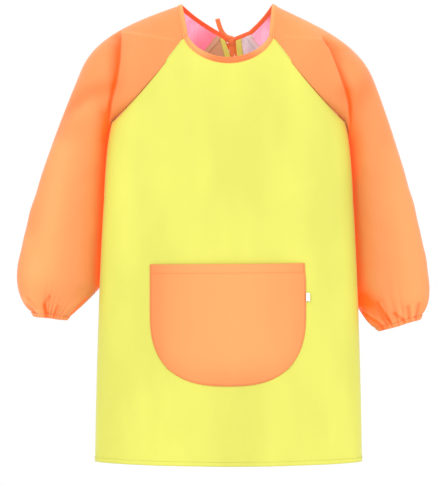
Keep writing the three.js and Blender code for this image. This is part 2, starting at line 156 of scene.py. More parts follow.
def lengths(p, axis=0):
    """Distance run along a grid from its first row (0) or column (1)."""
    step = np.linalg.norm(np.diff(p, axis=axis), axis=-1)
    start = np.zeros_like(np.take(step, [0], axis=axis))
    return np.concatenate([start, np.cumsum(step, axis=axis)], axis=axis)


def spline(points, count):
    """A smooth curve through points: on each span a Catmull-Rom cubic, then even spacing."""
    p = np.asarray(points, float)
    p = np.concatenate([[2 * p[0] - p[1]], p, [2 * p[-1] - p[-2]]])
    t = np.linspace(0, 1, 24, endpoint=False)[None, :, None]
    a, b, c, d = (p[i : len(p) - 3 + i, None] for i in range(4))
    q = 0.5 * (2 * b + (c - a) * t + (2 * a - 5 * b + 4 * c - d) * t**2 + (3 * b - 3 * c + d - a) * t**3)
    q = np.concatenate([q.reshape(-1, p.shape[1]), p[-2][None]])
    run = lengths(q)
    at = np.linspace(0, run[-1], count)
    return np.stack([np.interp(at, run, q[:, k]) for k in range(p.shape[1])], axis=1)


def line_at(grid, distance, edge):
    """The line on a grid that lies a distance inside one of its edges, and its normals."""
    turn = {
        "top": lambda g: g[::-1],
        "bottom": lambda g: g,
        "first": lambda g: np.swapaxes(g, 0, 1),
        "last": lambda g: np.swapaxes(g, 0, 1)[::-1],
    }[edge]
    p, n = turn(grid), turn(normals_of(grid))
    run = lengths(p)
    j = np.clip((run < distance).sum(axis=0) - 1, 0, len(p) - 2)
    i = np.arange(p.shape[1])
    t = ((distance - run[j, i]) / np.maximum(run[j + 1, i] - run[j, i], 1e-9))[:, None]
    return mix(p[j, i], p[j + 1, i], t), unit(mix(n[j, i], n[j + 1, i], np.clip(t, 0, 1)))


# ---------------------------------------------------------------- meshes


def write_mesh(name, points, faces, corner_uv=None, painted_shading=None, inner=None):
    """A mesh object from arrays: points in millimetres, faces as rows of equal length."""
    mesh = bpy.data.meshes.new(name)
    sides = faces.shape[1]
    mesh.vertices.add(len(points))
    mesh.vertices.foreach_set("co", (points * MM).astype(np.float32).ravel())
    mesh.loops.add(faces.size)
    mesh.loops.foreach_set("vertex_index", faces.astype(np.int32).ravel())
    mesh.polygons.add(len(faces))
    mesh.polygons.foreach_set("loop_start", np.arange(0, faces.size, sides, dtype=np.int32))
    mesh.polygons.foreach_set("use_smooth", np.ones(len(faces), bool))
    if corner_uv is not None:
        layer = mesh.uv_layers.new(name="cloth")
        layer.data.foreach_set("uv", corner_uv.astype(np.float32).ravel())
    # Two point attributes: painted shade and highlight, and the share of the lining's painted shade colour.
    for key, values in (("painted_shading", painted_shading), ("inner", inner)):
        layer = mesh.attributes.new(key, "FLOAT", "POINT")
        layer.data.foreach_set("value", (np.zeros(len(points)) if values is None else values).astype(np.float32))
    mesh.update(calc_edges=True)
    mesh.validate()
    obj = bpy.data.objects.new(name, mesh)
    bpy.context.scene.collection.objects.link(obj)
    return obj


def sheet_piece(name, grid, finish, reverse, thickness=0.6, closed=None, painted_shading=None, inner=None, away=None):
    """A cloth piece from a grid. Rows marked closed join their last column to their first. The
    cloth's texture map is the distance run along and across it. Solidify adds the reverse."""
    rows, columns = grid.shape[:2]
    index = np.arange(rows * columns).reshape(rows, columns)
    if closed is not None:
        index[closed, -1] = index[closed, 0]
    corners = [index[:-1, :-1], index[:-1, 1:], index[1:, 1:], index[1:, :-1]]
    quads = np.stack(corners, axis=-1).reshape(-1, 4)
    across, along = lengths(grid, 1), lengths(grid, 0)
    uv = np.stack([across - across[:, -1:] / 2, along], axis=-1) * MM
    uv_corners = [uv[:-1, :-1], uv[:-1, 1:], uv[1:, 1:], uv[1:, :-1]]
    corner_uv = np.stack(uv_corners, axis=2).reshape(-1, 4, 2)
    points = grid.reshape(-1, 3)
    centre = points.mean(axis=0) if away is None else away
    centre = np.broadcast_to(centre, grid.shape).reshape(-1, 3)
    a, b, c = (points[quads[:, k]] for k in range(3))
    facing = (np.cross(b - a, c - a) * (a - centre[quads[:, 0]])).sum(axis=1).sum()
    if facing < 0:
        quads, corner_uv = quads[:, ::-1], corner_uv[:, ::-1]
    used, quads = np.unique(quads, return_inverse=True)
    painted_shading, inner = (None if v is None else np.broadcast_to(v, grid.shape[:2]).reshape(-1)[used]
                   for v in (painted_shading, inner))
    obj = write_mesh(name, points[used], quads.reshape(-1, 4), corner_uv.reshape(-1, 2), painted_shading, inner)
    obj.data.materials.append(finish)
    obj.data.materials.append(reverse)
    shell = obj.modifiers.new("cloth_thickness", "SOLIDIFY")
    shell.thickness, shell.offset = thickness * MM, -1
    shell.material_offset = 1
    return obj


def tube_piece(name, rings, finish, painted_shading=None, loop=False):
    """A closed solid carried through rings of points; flat ends, or joined end to start."""
    count, around = rings.shape[:2]
    index = np.arange(count * around).reshape(count, around)
    ring = np.concatenate([index, index[:, :1]], axis=1)
    if loop:
        ring = np.concatenate([ring, ring[:1]])
    quads = np.stack([ring[:-1, :-1], ring[:-1, 1:], ring[1:, 1:], ring[1:, :-1]], -1).reshape(-1, 4)
    points, faces = rings.reshape(-1, 3), [quads]
    if not loop:
        half = around // 2
        for row, turn in ((index[0], 1), (index[-1], -1)):
            k = np.arange(half - 1)
            cap = np.stack([row[k], row[around - 1 - k], row[around - 2 - k], row[k + 1]], -1)
            faces.append(cap[:, ::turn])
    quads = np.concatenate(faces)
    a, b, c, d = (points[quads[:, k]] for k in range(4))
    volume = (a * np.cross(b, c)).sum() + (a * np.cross(c, d)).sum()
    if volume < 0:
        quads = quads[:, ::-1]
    run = np.linalg.norm(np.diff(rings.mean(axis=1), axis=0), axis=1)
    run = np.concatenate([[0], np.cumsum(run)])
    girth = np.linspace(0, 1, around, endpoint=False) * np.linalg.norm(
        np.roll(rings[count // 2], -1, axis=0) - rings[count // 2], axis=1).sum()
    uv = np.stack(np.broadcast_arrays(girth[None, :], run[:, None]), -1).reshape(-1, 2) * MM
    obj = write_mesh(name, points, quads, uv[quads.ravel()], painted_shading)
    obj.data.materials.append(finish)
    return obj


def band_rings(path, wide, width, thick, around=14, squareness=3.2):
    """Rings of a flat tape: a rounded box section, its width along one direction of each point."""
    along = unit(np.gradient(path, axis=0))
    wide = unit(wide - (wide * along).sum(axis=-1, keepdims=True) * along)
    thin = np.cross(along, wide)
    angle = np.linspace(0, 2 * np.pi, around, endpoint=False)
    power = 2 / squareness
    c = np.sign(np.cos(angle)) * np.abs(np.cos(angle)) ** power
    s = np.sign(np.sin(angle)) * np.abs(np.sin(angle)) ** power
    width, thick = (np.broadcast_to(v, len(path))[:, None, None] / 2 for v in (width, thick))
    return path[:, None] + wide[:, None] * width * c[None, :, None] + thin[:, None] * thick * s[None, :, None]


def stitches(name, runs, finish, length=2.2, pitch=3.0, girth=0.55, proud=0.12):
    """Short thread ends standing on the cloth: at even steps along each run of points lies a
    long thin ellipsoid, half sunk in the cloth."""
    rings, sides = 4, 6
    lat = np.linspace(-1, 1, rings + 2)[1:-1, None]
    lon = np.linspace(0, 2 * np.pi, sides, endpoint=False)[None]
    fat = np.sqrt(1 - lat**4)
    body = np.stack(np.broadcast_arrays(lat, fat * np.cos(lon), fat * np.sin(lon)), -1).reshape(-1, 3)
    seed = np.concatenate([[[-1, 0, 0]], body, [[1, 0, 0]]]) * [length / 2, girth / 2, girth / 2]
    index = 1 + np.arange(rings * sides).reshape(rings, sides)
    nxt = np.roll(index, -1, axis=1)
    walls = np.stack([index[:-1], nxt[:-1], nxt[1:], index[1:]], -1).reshape(-1, 4)
    first = np.stack([np.zeros(sides, int), nxt[0], index[0]], -1)
    last = np.stack([np.full(sides, len(seed) - 1), index[-1], nxt[-1]], -1)
    triangles = np.concatenate([first, last, walls[:, [0, 1, 2]], walls[:, [0, 2, 3]]])
    points = []
    for line, normal in runs:
        run = lengths(line)
        at = np.arange(pitch / 2, run[-1], pitch)
        centre = np.stack([np.interp(at, run, line[:, k]) for k in range(3)], -1)
        ahead = np.stack([np.interp(at + 0.5, run, line[:, k]) for k in range(3)], -1)
        up = unit(np.stack([np.interp(at, run, normal[:, k]) for k in range(3)], -1))
        along = unit(ahead - centre)
        side = np.cross(up, along)
        local = seed[None, :, :, None] * np.stack([along, side, up], axis=1)[:, None]
        points.append(centre[:, None] + up[:, None] * proud + local.sum(axis=2))
    points = np.concatenate(points)
    shift = (np.arange(len(points)) * len(seed))[:, None, None]
    obj = write_mesh(name, points.reshape(-1, 3), (triangles[None] + shift).reshape(-1, 3))
    obj.data.materials.append(finish)
    return obj


def joined(name, parts):
    """Several objects made one mesh object, which keeps their materials."""
    with bpy.context.temp_override(active_object=parts[0], object=parts[0], selected_objects=parts,
                                   selected_editable_objects=parts):
        bpy.ops.object.join()
    parts[0].name = parts[0].data.name = name
    return parts[0]


# ---------------------------------------------------------------- finishes


class Wire:
    """One shader socket. Maths on it adds Math nodes to its material."""

    def __init__(self, finish, socket):
        self.finish, self.socket = finish, socket

    def maths(self, operation, *values, clamp=False):
        settings = {"operation": operation, "use_clamp": clamp}
        return self.finish.add("ShaderNodeMath", settings, dict(enumerate(values)))

    def __add__(self, other):
        return self.maths("ADD", self, other)

    def __mul__(self, other):
        return self.maths("MULTIPLY", self, other)

    def __sub__(self, other):
        return self.maths("SUBTRACT", self, other)

    def __rsub__(self, other):
        return self.maths("SUBTRACT", other, self)

    __radd__, __rmul__ = __add__, __mul__

    def sine(self):
        return self.maths("SINE", self)

    def within(self, low, high):
        """0 at low, 1 at high, level at both ends."""
        sockets = {"Value": self, "From Min": low, "From Max": high}
        return self.finish.add("ShaderNodeMapRange", {"interpolation_type": "SMOOTHSTEP"}, sockets)


class Finish:
    """A material built node by node around one Principled shader."""

    def __init__(self, name, **constants):
        self.material = bpy.data.materials.new(name)
        self.material.use_nodes = True
        self.tree = self.material.node_tree
        self.shader = self.tree.nodes["Principled BSDF"]
        for socket, value in constants.items():
            self.shader.inputs[socket.replace("_", " ")].default_value = value

    def add(self, kind, settings=None, sockets=None, output=0):
        """A node of a kind with its settings made first, then its sockets' values or links."""
        node = self.tree.nodes.new(kind)
        for key, value in (settings or {}).items():
            setattr(node, key, value)
        for key, value in (sockets or {}).items():
            self.join(value, node.inputs[key])
        return Wire(self, node.outputs[output])

    def join(self, value, socket):
        if isinstance(value, Wire):
            self.tree.links.new(value.socket, socket)
        elif value is not None:
            socket.default_value = value

    def set(self, **sockets):
        for key, value in sockets.items():
            self.join(value, self.shader.inputs[key.replace("_", " ")])

    def place(self):
        return self.add("ShaderNodeTexCoord", output="Object")

    def noise(self, scale, detail=2.0, roughness=0.5, vector=None, stretch=None):
        """Cloudy values about 0.5, over the object's own coordinates."""
        vector = vector or self.place()
        if stretch:
            vector = self.add("ShaderNodeMapping", None, {"Vector": vector, "Scale": stretch})
        sockets = {"Vector": vector, "Scale": scale, "Detail": detail, "Roughness": roughness}
        return self.add("ShaderNodeTexNoise", None, sockets)

    def blend(self, share, a, b):
        """Colour a where share is 0, and b where it is 1."""
        sockets = {0: share, 6: a, 7: b}
        return self.add("ShaderNodeMix", {"data_type": "RGBA"}, sockets, output=2)

    def weave(self, pitch):
        """Height of a plain weave: the product of a sine across the cloth and one along it."""
        uv = self.add("ShaderNodeUVMap", {"uv_map": "cloth"})
        parts = self.add("ShaderNodeSeparateXYZ", None, {0: uv})
        y = Wire(self, parts.socket.node.outputs[1])
        turn = 2 * math.pi / (pitch * MM)
        return (parts * turn).sine() * (y * turn).sine()

    def bumps(self, *layers):
        """Bump nodes in a chain: each layer is a height, its depth in metres and its strength."""
        normal = None
        for height, distance, strength in layers:
            sockets = {"Height": height, "Distance": distance, "Strength": strength, "Normal": normal}
            normal = self.add("ShaderNodeBump", None, sockets)
        self.set(Normal=normal)


def colour(r, g, b):
    """A linear colour from display values of 0 to 255."""
    return tuple(((c / 255 + 0.055) / 1.055) ** 2.4 if c > 10 else c / 3294.6 for c in (r, g, b)) + (1.0,)


def cloth_finish(name, plain, painted_shade, highlight_colour, roughness=0.5, sheen=0.22, mottle=0.09, pitch=0.6, glow=0.0,
                 least=0.12):
    """Fine plain-woven polyester. Painted shade deepens its colour where the cloth folds on itself, and
    painted highlight lightens it on ridges; tall cloudy patches a few centimetres wide vary it a little
    more. It also gives off a painted glow of its own colour, most in its folds, in place of light
    that comes through the thin cloth."""
    f = Finish(name, Sheen_Weight=sheen, Sheen_Roughness=0.4, Specular_IOR_Level=0.3, Emission_Strength=glow)
    # Painted shading from the mesh: above 0 paints shade in folds, below 0 paints highlight on ridges.
    painted_shading = f.add("ShaderNodeAttribute", {"attribute_name": "painted_shading"}, output="Fac")
    painted_shade_share, painted_highlight_share = painted_shading.maths("ADD", painted_shading, 0.0, clamp=True), painted_shading.maths("MULTIPLY", painted_shading, -1.0, clamp=True)
    patches = f.noise(13, 2, 0.5, stretch=(1.0, 1.0, 0.4))
    grain = f.noise(520, 2, 0.6)
    darker = tuple(c * (1 - mottle) ** 2 for c in plain[:3]) + (1,)
    base = f.blend((patches - 0.36) * 3.2 + (grain - 0.5) * 0.5, darker, plain)
    shade = f.blend(painted_shade_share, f.blend(painted_highlight_share, base, highlight_colour), painted_shade)
    f.set(Base_Color=shade, Roughness=(patches - 0.5) * 0.25 + (grain - 0.5) * 0.15 + roughness)
    # Painted glow: the cloth gives off its own colour, most where shade is painted in its folds.
    f.set(Emission_Color=f.blend(painted_shade_share * painted_shade_share * 0.7 + least, (0, 0, 0, 1), shade))
    crinkle = f.noise(46, 4, 0.62)
    f.bumps((crinkle, 0.0012, 0.2), (f.weave(pitch), 0.00006, 0.35), (grain, 0.00005, 0.3))
    return f.material


def reverse_finish(name, plain, dark, inner, glow, roughness=0.6):
    """The coated reverse: duller, with faint upright streaks where the coating is thin. It gives off a
    painted glow of its own colour, in place of light that comes through the thin cloth. The inner
    share paints shade: it turns the reverse towards its second, darker colour where it lies in shadow."""
    f = Finish(name, Specular_IOR_Level=0.3, Sheen_Weight=0.1, Emission_Strength=glow)
    share = f.add("ShaderNodeAttribute", {"attribute_name": "inner"}, output="Fac")
    blotch = f.noise(85, 4, 0.65)
    streak = f.noise(120, 3, 0.6, stretch=(1.0, 1.0, 0.15))
    shade = f.blend((blotch * 0.5 + streak * 0.8).within(0.45, 0.95), plain, dark)
    # Painted shade: the darker colour where the inside lies in shadow.
    shade = f.blend(share.within(0, 1), shade, inner)
    f.set(Base_Color=shade, Emission_Color=shade, Roughness=(blotch - 0.5) * 0.3 + roughness)
    f.bumps((streak, 0.002, 0.3), (blotch, 0.0012, 0.25), (f.weave(0.6), 0.00005, 0.3))
    return f.material


def thread_finish(name, plain):
    """Twisted sewing thread: fine slanting ridges and a slight lustre."""
    f = Finish(name, Roughness=0.45, Sheen_Weight=0.2)
    twist = f.add("ShaderNodeTexWave", {"bands_direction": "DIAGONAL"}, {"Scale": 900.0, "Distortion": 1.0},
                  output="Fac")
    f.set(Base_Color=f.blend(twist * 0.3, plain, tuple(0.7 * c for c in plain[:3]) + (1,)))
    f.bumps((twist, 0.0001, 0.4))
    return f.material


def elastic_finish(name):
    """Woven elastic: ribs that run round the band, with rubber threads showing as fine lines."""
    f = Finish(name, Roughness=0.8, Sheen_Weight=0.3)
    ribs = f.add("ShaderNodeTexWave", {"bands_direction": "Z"}, {"Scale": 260.0, "Distortion": 0.6},
                 output="Fac")
    grain = f.noise(900, 2)
    f.set(Base_Color=f.blend(ribs * 0.5 + grain * 0.2, colour(240, 236, 226), colour(205, 200, 190)))
    f.bumps((ribs, 0.0004, 0.5), (grain, 0.0001, 0.4))
    return f.material


# Cloth finishes: plain colour, then the colour painted as shade in folds, then the colour painted as highlight on
# ridges; glow sets their painted glow, and the tape glows more all over.
YELLOW = cloth_finish("yellow_cloth", colour(224, 223, 98), colour(196, 194, 66), colour(230, 228, 110),
                      mottle=0.05, glow=0.2)
ORANGE = cloth_finish("orange_cloth", colour(235, 145, 84), colour(252, 86, 20), colour(239, 163, 98),
                      mottle=0.05, glow=0.8)
TAPE = cloth_finish("orange_tape", colour(234, 122, 66), colour(232, 60, 26), colour(236, 150, 88),
                    roughness=0.62, pitch=0.8, glow=0.8, least=0.3)
# Reverse finishes: plain colour, streak colour, then the darker colour painted as shade where the inside lies in
# shadow; glow sets their painted glow.
YELLOW_REVERSE = reverse_finish("yellow_reverse", colour(218, 212, 216), colour(190, 178, 182),
                                colour(196, 146, 104), glow=0.16)
ORANGE_REVERSE = reverse_finish("orange_reverse", colour(246, 190, 212), colour(240, 160, 190),
                                colour(248, 96, 116), glow=0.36)
YELLOW_THREAD = thread_finish("yellow_thread", colour(198, 196, 78))
ORANGE_THREAD = thread_finish("orange_thread", colour(226, 118, 62))
ELASTIC = elastic_finish("woven_elastic")
WHITE_TAPE = cloth_finish("white_tape", colour(246, 246, 244), colour(214, 214, 212), colour(252, 252, 252),
                          roughness=0.6, pitch=0.5)

# ---------------------------------------------------------------- body dimensions, millimetres

front_low, front_high = corner_mm("front_panel")
HEM_BOW = 5.0
LENGTH = -front_low[2] - HEM_BOW
HEM_HALF, ARMPIT_HALF, ARMPIT = 192.0, 168.0, -128.0
TUCK, TUCK_REACH = 8.0, 35.0
SIDE_SWELL, SWELL_TOP = 2.0, -240.0
BACK_NECK = 2.0
LOWER_ROWS, UPPER_ROWS = 150, 76
TAPER = (HEM_HALF - TUCK - ARMPIT_HALF) / (LENGTH + ARMPIT)
NECK_SEAM, NECK_HALF, NECK_CENTRE, NECK_DROP, NECK_POWER = 64.0, 67.0, 8.0, 52.0, 1.95
OPENING_CENTRE, GAP_NECK, GAP_HEM = 4.0, 6.4, 14.0
CLOTH = 0.6

# The two sleeves. neck: the top of the neck edge, as half width and height; handles: of the shoulder's
# curve; reach: from the armpit to the shoulder's outer end; back_neck: half width where the back seam
# starts; spread, puff and puff_inner: how far the arm runs out and down to its puff; cuff and across:
# from the puff to the cuff's outer corner and from there to its inner one; cone: how straight the
# gathers' outer and inner contours are; inside: share of the lining's darker second colour round the
# neck, painted shade where the lining lies in shadow.
RIGHT = dict(name="right", side=-1, neck=(73, 40), handles=((70, -24), (17, 49)), reach=(46, 71),
             back_neck=18, spread=91, puff=293, puff_inner=235, cuff=(-25, -50.5), across=(-48, -6), cone=(0.5, 0.85))
LEFT = dict(name="left", side=1, neck=(69, 40), handles=((56, -28), (23, 59)), reach=(42, 59),
            back_neck=33, spread=79, puff=291, puff_inner=262, cuff=(-14, -44.5), across=(-60, -18), cone=(0.4, 0.6))
RIGHT["inside"] = lambda k: 0.75 * ease((k - 0.5) / 0.5)
LEFT["inside"] = lambda k: 0.95 * (1 - ease((k - 0.35) / 0.4))


def half_width(z):
    """Half the body's width: a straight taper, a tuck under the armpit and a faint swell below."""
    swell = SIDE_SWELL * hump(np.clip((SWELL_TOP - z) / (LENGTH + SWELL_TOP), 0, 1))
    return HEM_HALF - TAPER * (z + LENGTH) - TUCK * np.exp((z - ARMPIT) / TUCK_REACH) + swell


def bezier(points, t):
    """Quadratic or cubic curve in the plane, by its Bernstein sum."""
    p, n = np.asarray(points, float), len(points) - 1
    t = np.asarray(t, float)
    terms = [math.comb(n, i) * (1 - t) ** (n - i) * t**i for i in range(n + 1)]
    x, z = (sum(term * place for term, place in zip(terms, p[:, axis])) for axis in (0, 1))
    return x, z


def neck_level(x):
    """Height of the front neck edge: a superellipse that dips to its middle."""
    share = np.minimum(np.abs(x) / NECK_HALF, 1)
    return NECK_CENTRE - NECK_DROP * (1 - share**NECK_POWER) ** (1 / NECK_POWER)


def front_seam(w):
    """Raglan seam in front, neck 0 to armpit 1: its half width, height and depth."""
    start, end = (NECK_SEAM, float(neck_level(NECK_SEAM))), (ARMPIT_HALF, ARMPIT)
    middle = ((start[0] + end[0]) / 2, (start[1] + end[1]) / 2 - 15)
    x, z = bezier([start, middle, end], w)
    return x, z, 24 * (1 - w) + 26 * hump(w)


def back_seam(half, w):
    """Raglan seam behind, neck 0 to armpit 1: its half width, height and depth."""
    start = (half["back_neck"], BACK_NECK)
    x, z = bezier([start, (start[0] + 56, start[1] - 76), (ARMPIT_HALF, ARMPIT)], w)
    return x, z, 46 * (1 - w) + 12 * hump(w)


def wave_sum(x, terms):
    """Sum of sines: each term is an amplitude, a wavelength and a start."""
    return sum(a * np.sin(2 * np.pi * x / length + start) for a, length, start in terms)


def crease(x, z, line, height, width):
    """A ridge or groove along a line of points: a bell curve of the distance to the line."""
    off = np.full(np.broadcast(x, z).shape, 1e9)
    for (x0, z0), (x1, z1) in zip(line[:-1], line[1:]):
        dx, dz = x1 - x0, z1 - z0
        along = np.clip(((x - x0) * dx + (z - z0) * dz) / (dx * dx + dz * dz), 0, 1)
        off = np.minimum(off, np.hypot(x - x0 - along * dx, z - z0 - along * dz))
    return height * np.exp(-((off / width) ** 2))


# Creases of the front: the line each follows, its height and its width.
FRONT_CREASES = [
    (((62, -250), (118, -218)), 0.7, 7), (((92, -92), (130, -70)), 0.4, 6),
    (((-30, -70), (-6, -150)), 0.5, 12), (((-150, -560), (-120, -470)), 0.8, 8),
    (((-60, -590), (-78, -520)), 0.7, 7), (((40, -596), (22, -530)), 0.7, 7),
    (((120, -585), (150, -480)), 0.8, 9), (((-170, -300), (-140, -190)), -0.6, 9),
    (((168, -420), (128, -330)), -0.6, 9),
]


def front_relief(x, z):
    """How far the front stands out beyond its plain section: soft tubes that grow towards the hem,
    broad unevenness and a few creases, all fading out at the side seams."""
    down = ease((-170 - z) / 380)
    tubes = wave_sum(x + 9 * np.sin(z / 120), [(1.5, 148, 0.4), (0.8, 83, 2.1), (0.4, 51, 0.9)])
    broad = 1.3 * np.sin(x / 71 + 1.1) * np.sin(z / 118 + 0.5)
    fine = sum(crease(x, z, *c) for c in FRONT_CREASES)
    seam_x, seam_z, _ = front_seam(np.linspace(0, 1, 60))
    limit = np.where(z > ARMPIT, np.interp(-z, -seam_z, seam_x), half_width(np.minimum(z, ARMPIT)))
    side = 1 - np.clip(np.abs(x) / limit, 0, 1) ** 5
    return (down * tubes + broad + fine) * side * ease((10 - z) / 60)


def front_y(x, z):
    """Depth of the front: a superellipse across the body, less the front's relief."""
    depth = mix(50, 55, (ARMPIT - z) / (LENGTH + ARMPIT))
    share = np.clip(np.abs(x) / half_width(z), 0, 1)
    return -depth * (1 - share**3) ** (1 / 3) - front_relief(x, z)


def rolled(grid, edges, reach=1.2, drop=0.45):
    """A grid whose named edges roll inwards over the last millimetres, as cloth does at a seam."""
    normal, out = normals_of(grid), grid.copy()
    for edge, flip in edges:
        run = {
            "first": lambda: lengths(grid, 1),
            "last": lambda: lengths(grid[:, ::-1], 1)[:, ::-1],
        }[edge]()
        out -= flip * normal * (drop * np.exp(-((run / reach) ** 2)))[..., None]
    return out


# ---------------------------------------------------------------- front panel


def front_grid(lower=LOWER_ROWS, upper=UPPER_ROWS, columns=170):
    """Rows rise from the hem. Across, points crowd where the section turns, by a cosine power."""
    t = np.linspace(0, 1, columns + 1)
    edge = 1 - np.abs(1 - 2 * t)
    across = np.sign(t - 0.5) * np.cos(edge * np.pi / 2) ** (2 / 3)
    crown = np.sin(edge * np.pi / 2) ** (2 / 3)
    v = np.concatenate([np.linspace(0, 0.035, 14), np.linspace(0.035, 1, lower - 12)[1:]])[:, None]
    z = mix(-LENGTH - HEM_BOW * (1 - across**2), ARMPIT, v)
    x = across * half_width(z)
    low = stack(x, front_y(x, z), z)
    v = np.linspace(0, 1, upper + 1)[1:, None]
    seam_x, seam_z, seam_depth = front_seam(1 - v)
    soft = mix(crown, 1 - np.abs(across) ** 2.5, ease(v))
    z = seam_z - (neck_level(NECK_SEAM) - neck_level(across * NECK_SEAM)) * v**1.5
    x = across * seam_x
    depth = mix(seam_depth, mix(50, 45, v), soft)
    return np.concatenate([low, stack(x, -depth - front_relief(x, z), z)])


def hem_relief(grid, height, outward, pucker=0.28, period=6.5):
    """Raises the turned hem at a grid's first rows, with a groove and puckers at its stitching."""
    run = lengths(grid)
    step = 0.45 * (1 - ease((run - height - 0.4) / 1.2)) - 0.5 * np.exp(-(((run - height) / 0.9) ** 2))
    girth = lengths(grid, 1)
    ripple = pucker * np.sin(2 * np.pi * (girth + 1.4 * run) / period + 2.2 * np.sin(girth / 23))
    return grid + outward * normals_of(grid) * (step + ripple * np.exp(-(((run - height) / 5) ** 2)))[..., None]


def facing(grid, away):
    """1 or -1, so that the grid's normals times it point away from a place."""
    return 1.0 if (normals_of(grid) * (grid - away)).sum() > 0 else -1.0


BODY_MIDDLE = np.array([0.0, 0.0, -300.0])
HEM_HEIGHT = 6.0
front = front_grid()
OUT = facing(front, BODY_MIDDLE)
front = hem_relief(front, HEM_HEIGHT, OUT)
front = rolled(front, [("first", OUT), ("last", OUT)])
front_piece = sheet_piece("front_cloth", front, YELLOW, YELLOW_REVERSE, CLOTH, away=BODY_MIDDLE)
THIN_COLUMNS, THIN_SHARE = 12, 0.05
places = np.arange(front.shape[0] * front.shape[1]).reshape(front.shape[:2])
edges = np.concatenate([places[:, :THIN_COLUMNS].ravel(), places[:, -THIN_COLUMNS:].ravel()])
full = front_piece.vertex_groups.new(name="full_thickness")
full.add(places.ravel().tolist(), 1.0, "REPLACE")
full.add(edges.tolist(), 0.0, "REPLACE")
front_piece.modifiers["cloth_thickness"].vertex_group = "full_thickness"
front_piece.modifiers["cloth_thickness"].thickness_vertex_group = THIN_SHARE
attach(front_piece, "body")
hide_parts("front_panel")

# ---------------------------------------------------------------- back panels


def opening_edge(side, z):
    """The back's centre edge. Near the neck both edges are drawn towards the wearer's left below
    the knot."""
    drawn, held_back = (2.6, 0) if side > 0 else (6.0, 3.5)
    lean = drawn * np.exp(-(((z + 38) / 22) ** 2)) - held_back * np.exp(-(((z + 4) / 13) ** 2))
    return OPENING_CENTRE + side * mix(GAP_NECK, GAP_HEM, -z / LENGTH) + lean


def back_relief(x, z, side):
    """Soft vertical folds that grow towards the hem and fade at the side seam."""
    down = ease((-150 - z) / 400)
    shift = 0.7 if side > 0 else 2.4
    folds = wave_sum(x + 7 * np.sin(z / 90), [(2.2, 96, shift), (1.1, 57, 1.3 * shift), (0.5, 31, shift)])
    share = np.clip(np.abs(x) / half_width(np.minimum(z, ARMPIT)), 0, 1)
    curl = 1.6 * np.exp(-np.abs(x - opening_edge(side, z)) / 16) * down
    return (down * folds + 0.5 * np.sin(x / 40) * np.sin(z / 80) * ease((-60 - z) / 80)) * (1 - share**5) + curl


def back_grid(half, lower=LOWER_ROWS, upper=UPPER_ROWS, columns=84):
    """Rows rise from the hem; columns run from the side seam (0) to the opening's edge (1)."""
    side = half["side"]
    t = np.linspace(0, 1, columns + 1)
    share, crown = np.cos(t * np.pi / 2) ** (2 / 3), np.sin(t * np.pi / 2) ** (2 / 3)
    share[-1] = 0
    v = np.concatenate([np.linspace(0, 0.035, 14), np.linspace(0.035, 1, lower - 12)[1:]])[:, None]
    level = -LENGTH - HEM_BOW * (1 - share**2)
    z = mix(level, ARMPIT, v)
    edge = opening_edge(side, z)
    x = edge + (side * half_width(z) - edge) * share
    inner = np.clip(np.abs(x) / half_width(z), 0, 1)
    depth = mix(48, 50, (ARMPIT - z) / (LENGTH + ARMPIT)) * (1 - inner**3) ** (1 / 3)
    low = stack(x, depth + back_relief(x, z, side), z)
    v = np.linspace(0, 1, upper + 1)[1:, None]
    seam_x, seam_z, seam_depth = back_seam(half, 1 - v)
    z = mix(seam_z, mix(ARMPIT, -7, v), 1 - share)
    edge = opening_edge(side, mix(ARMPIT, -7, v))
    x = edge + (side * seam_x - edge) * share
    soft = mix(crown, 1 - share**2.5, ease(v))
    depth = mix(seam_depth, mix(48, 46, v), soft)
    return np.concatenate([low, stack(x, depth + back_relief(x, z, side), z)])


FOLD_TOP, FOLD_TOP_WIDTH, FOLD_HEM = -136.0, 12.0, 130.0


def fold_blend(obj, side):
    """Works out the line about which the lower inner corner of a back panel would fold outwards, but uses
    none of it; only bakes the object's placement into its mesh.
    """
    top = np.array([opening_edge(side, FOLD_TOP) + side * FOLD_TOP_WIDTH, FOLD_TOP])
    low = np.array([side * FOLD_HEM, -LENGTH])
    along = unit(low - top)
    way = np.array([-along[1], along[0]]) * -side
    middle = (top + low) / 2
    start, end = middle - 8 * way, middle + 22 * way
    "flap_right" if side < 0 else "flap_left"
    start[0] * MM
    start[1] * MM
    end[0] * MM
    end[1] * MM
    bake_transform(obj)


backs = {}
for half in (RIGHT, LEFT):
    side, name = half["side"], half["name"]
    grid = back_grid(half)
    out = facing(grid, BODY_MIDDLE)
    grid = hem_relief(grid, HEM_HEIGHT, out)
    centre_run = lengths(grid[:, ::-1], 1)[:, ::-1]
    turned = 0.4 * (1 - ease((centre_run - 8) / 1.2)) - 0.4 * np.exp(-(((centre_run - 7.6) / 0.9) ** 2))
    girth = lengths(grid)
    turned += 0.22 * np.sin(2 * np.pi * girth / 7 + 2 * np.sin(girth / 31)) * np.exp(-(((centre_run - 7) / 5) ** 2))
    grid = grid + out * normals_of(grid) * turned[..., None]
    grid = rolled(grid, [("first", out)])
    backs[name] = grid
    # Painted shade: near the neck the right back panel's reverse turns to its darker tan colour, where it lies in
    # shadow.
    shade = (0.95 if side < 0 else 0.0) * ease((grid[..., 2] + 90) / 40)
    piece = sheet_piece(f"back_cloth_{name}", grid, YELLOW, YELLOW_REVERSE, CLOTH, inner=shade, away=BODY_MIDDLE)
    fold_blend(piece, side)
    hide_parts(f"back_panel_{name}", f"back_flap_{name}")
    half["back_piece"] = piece
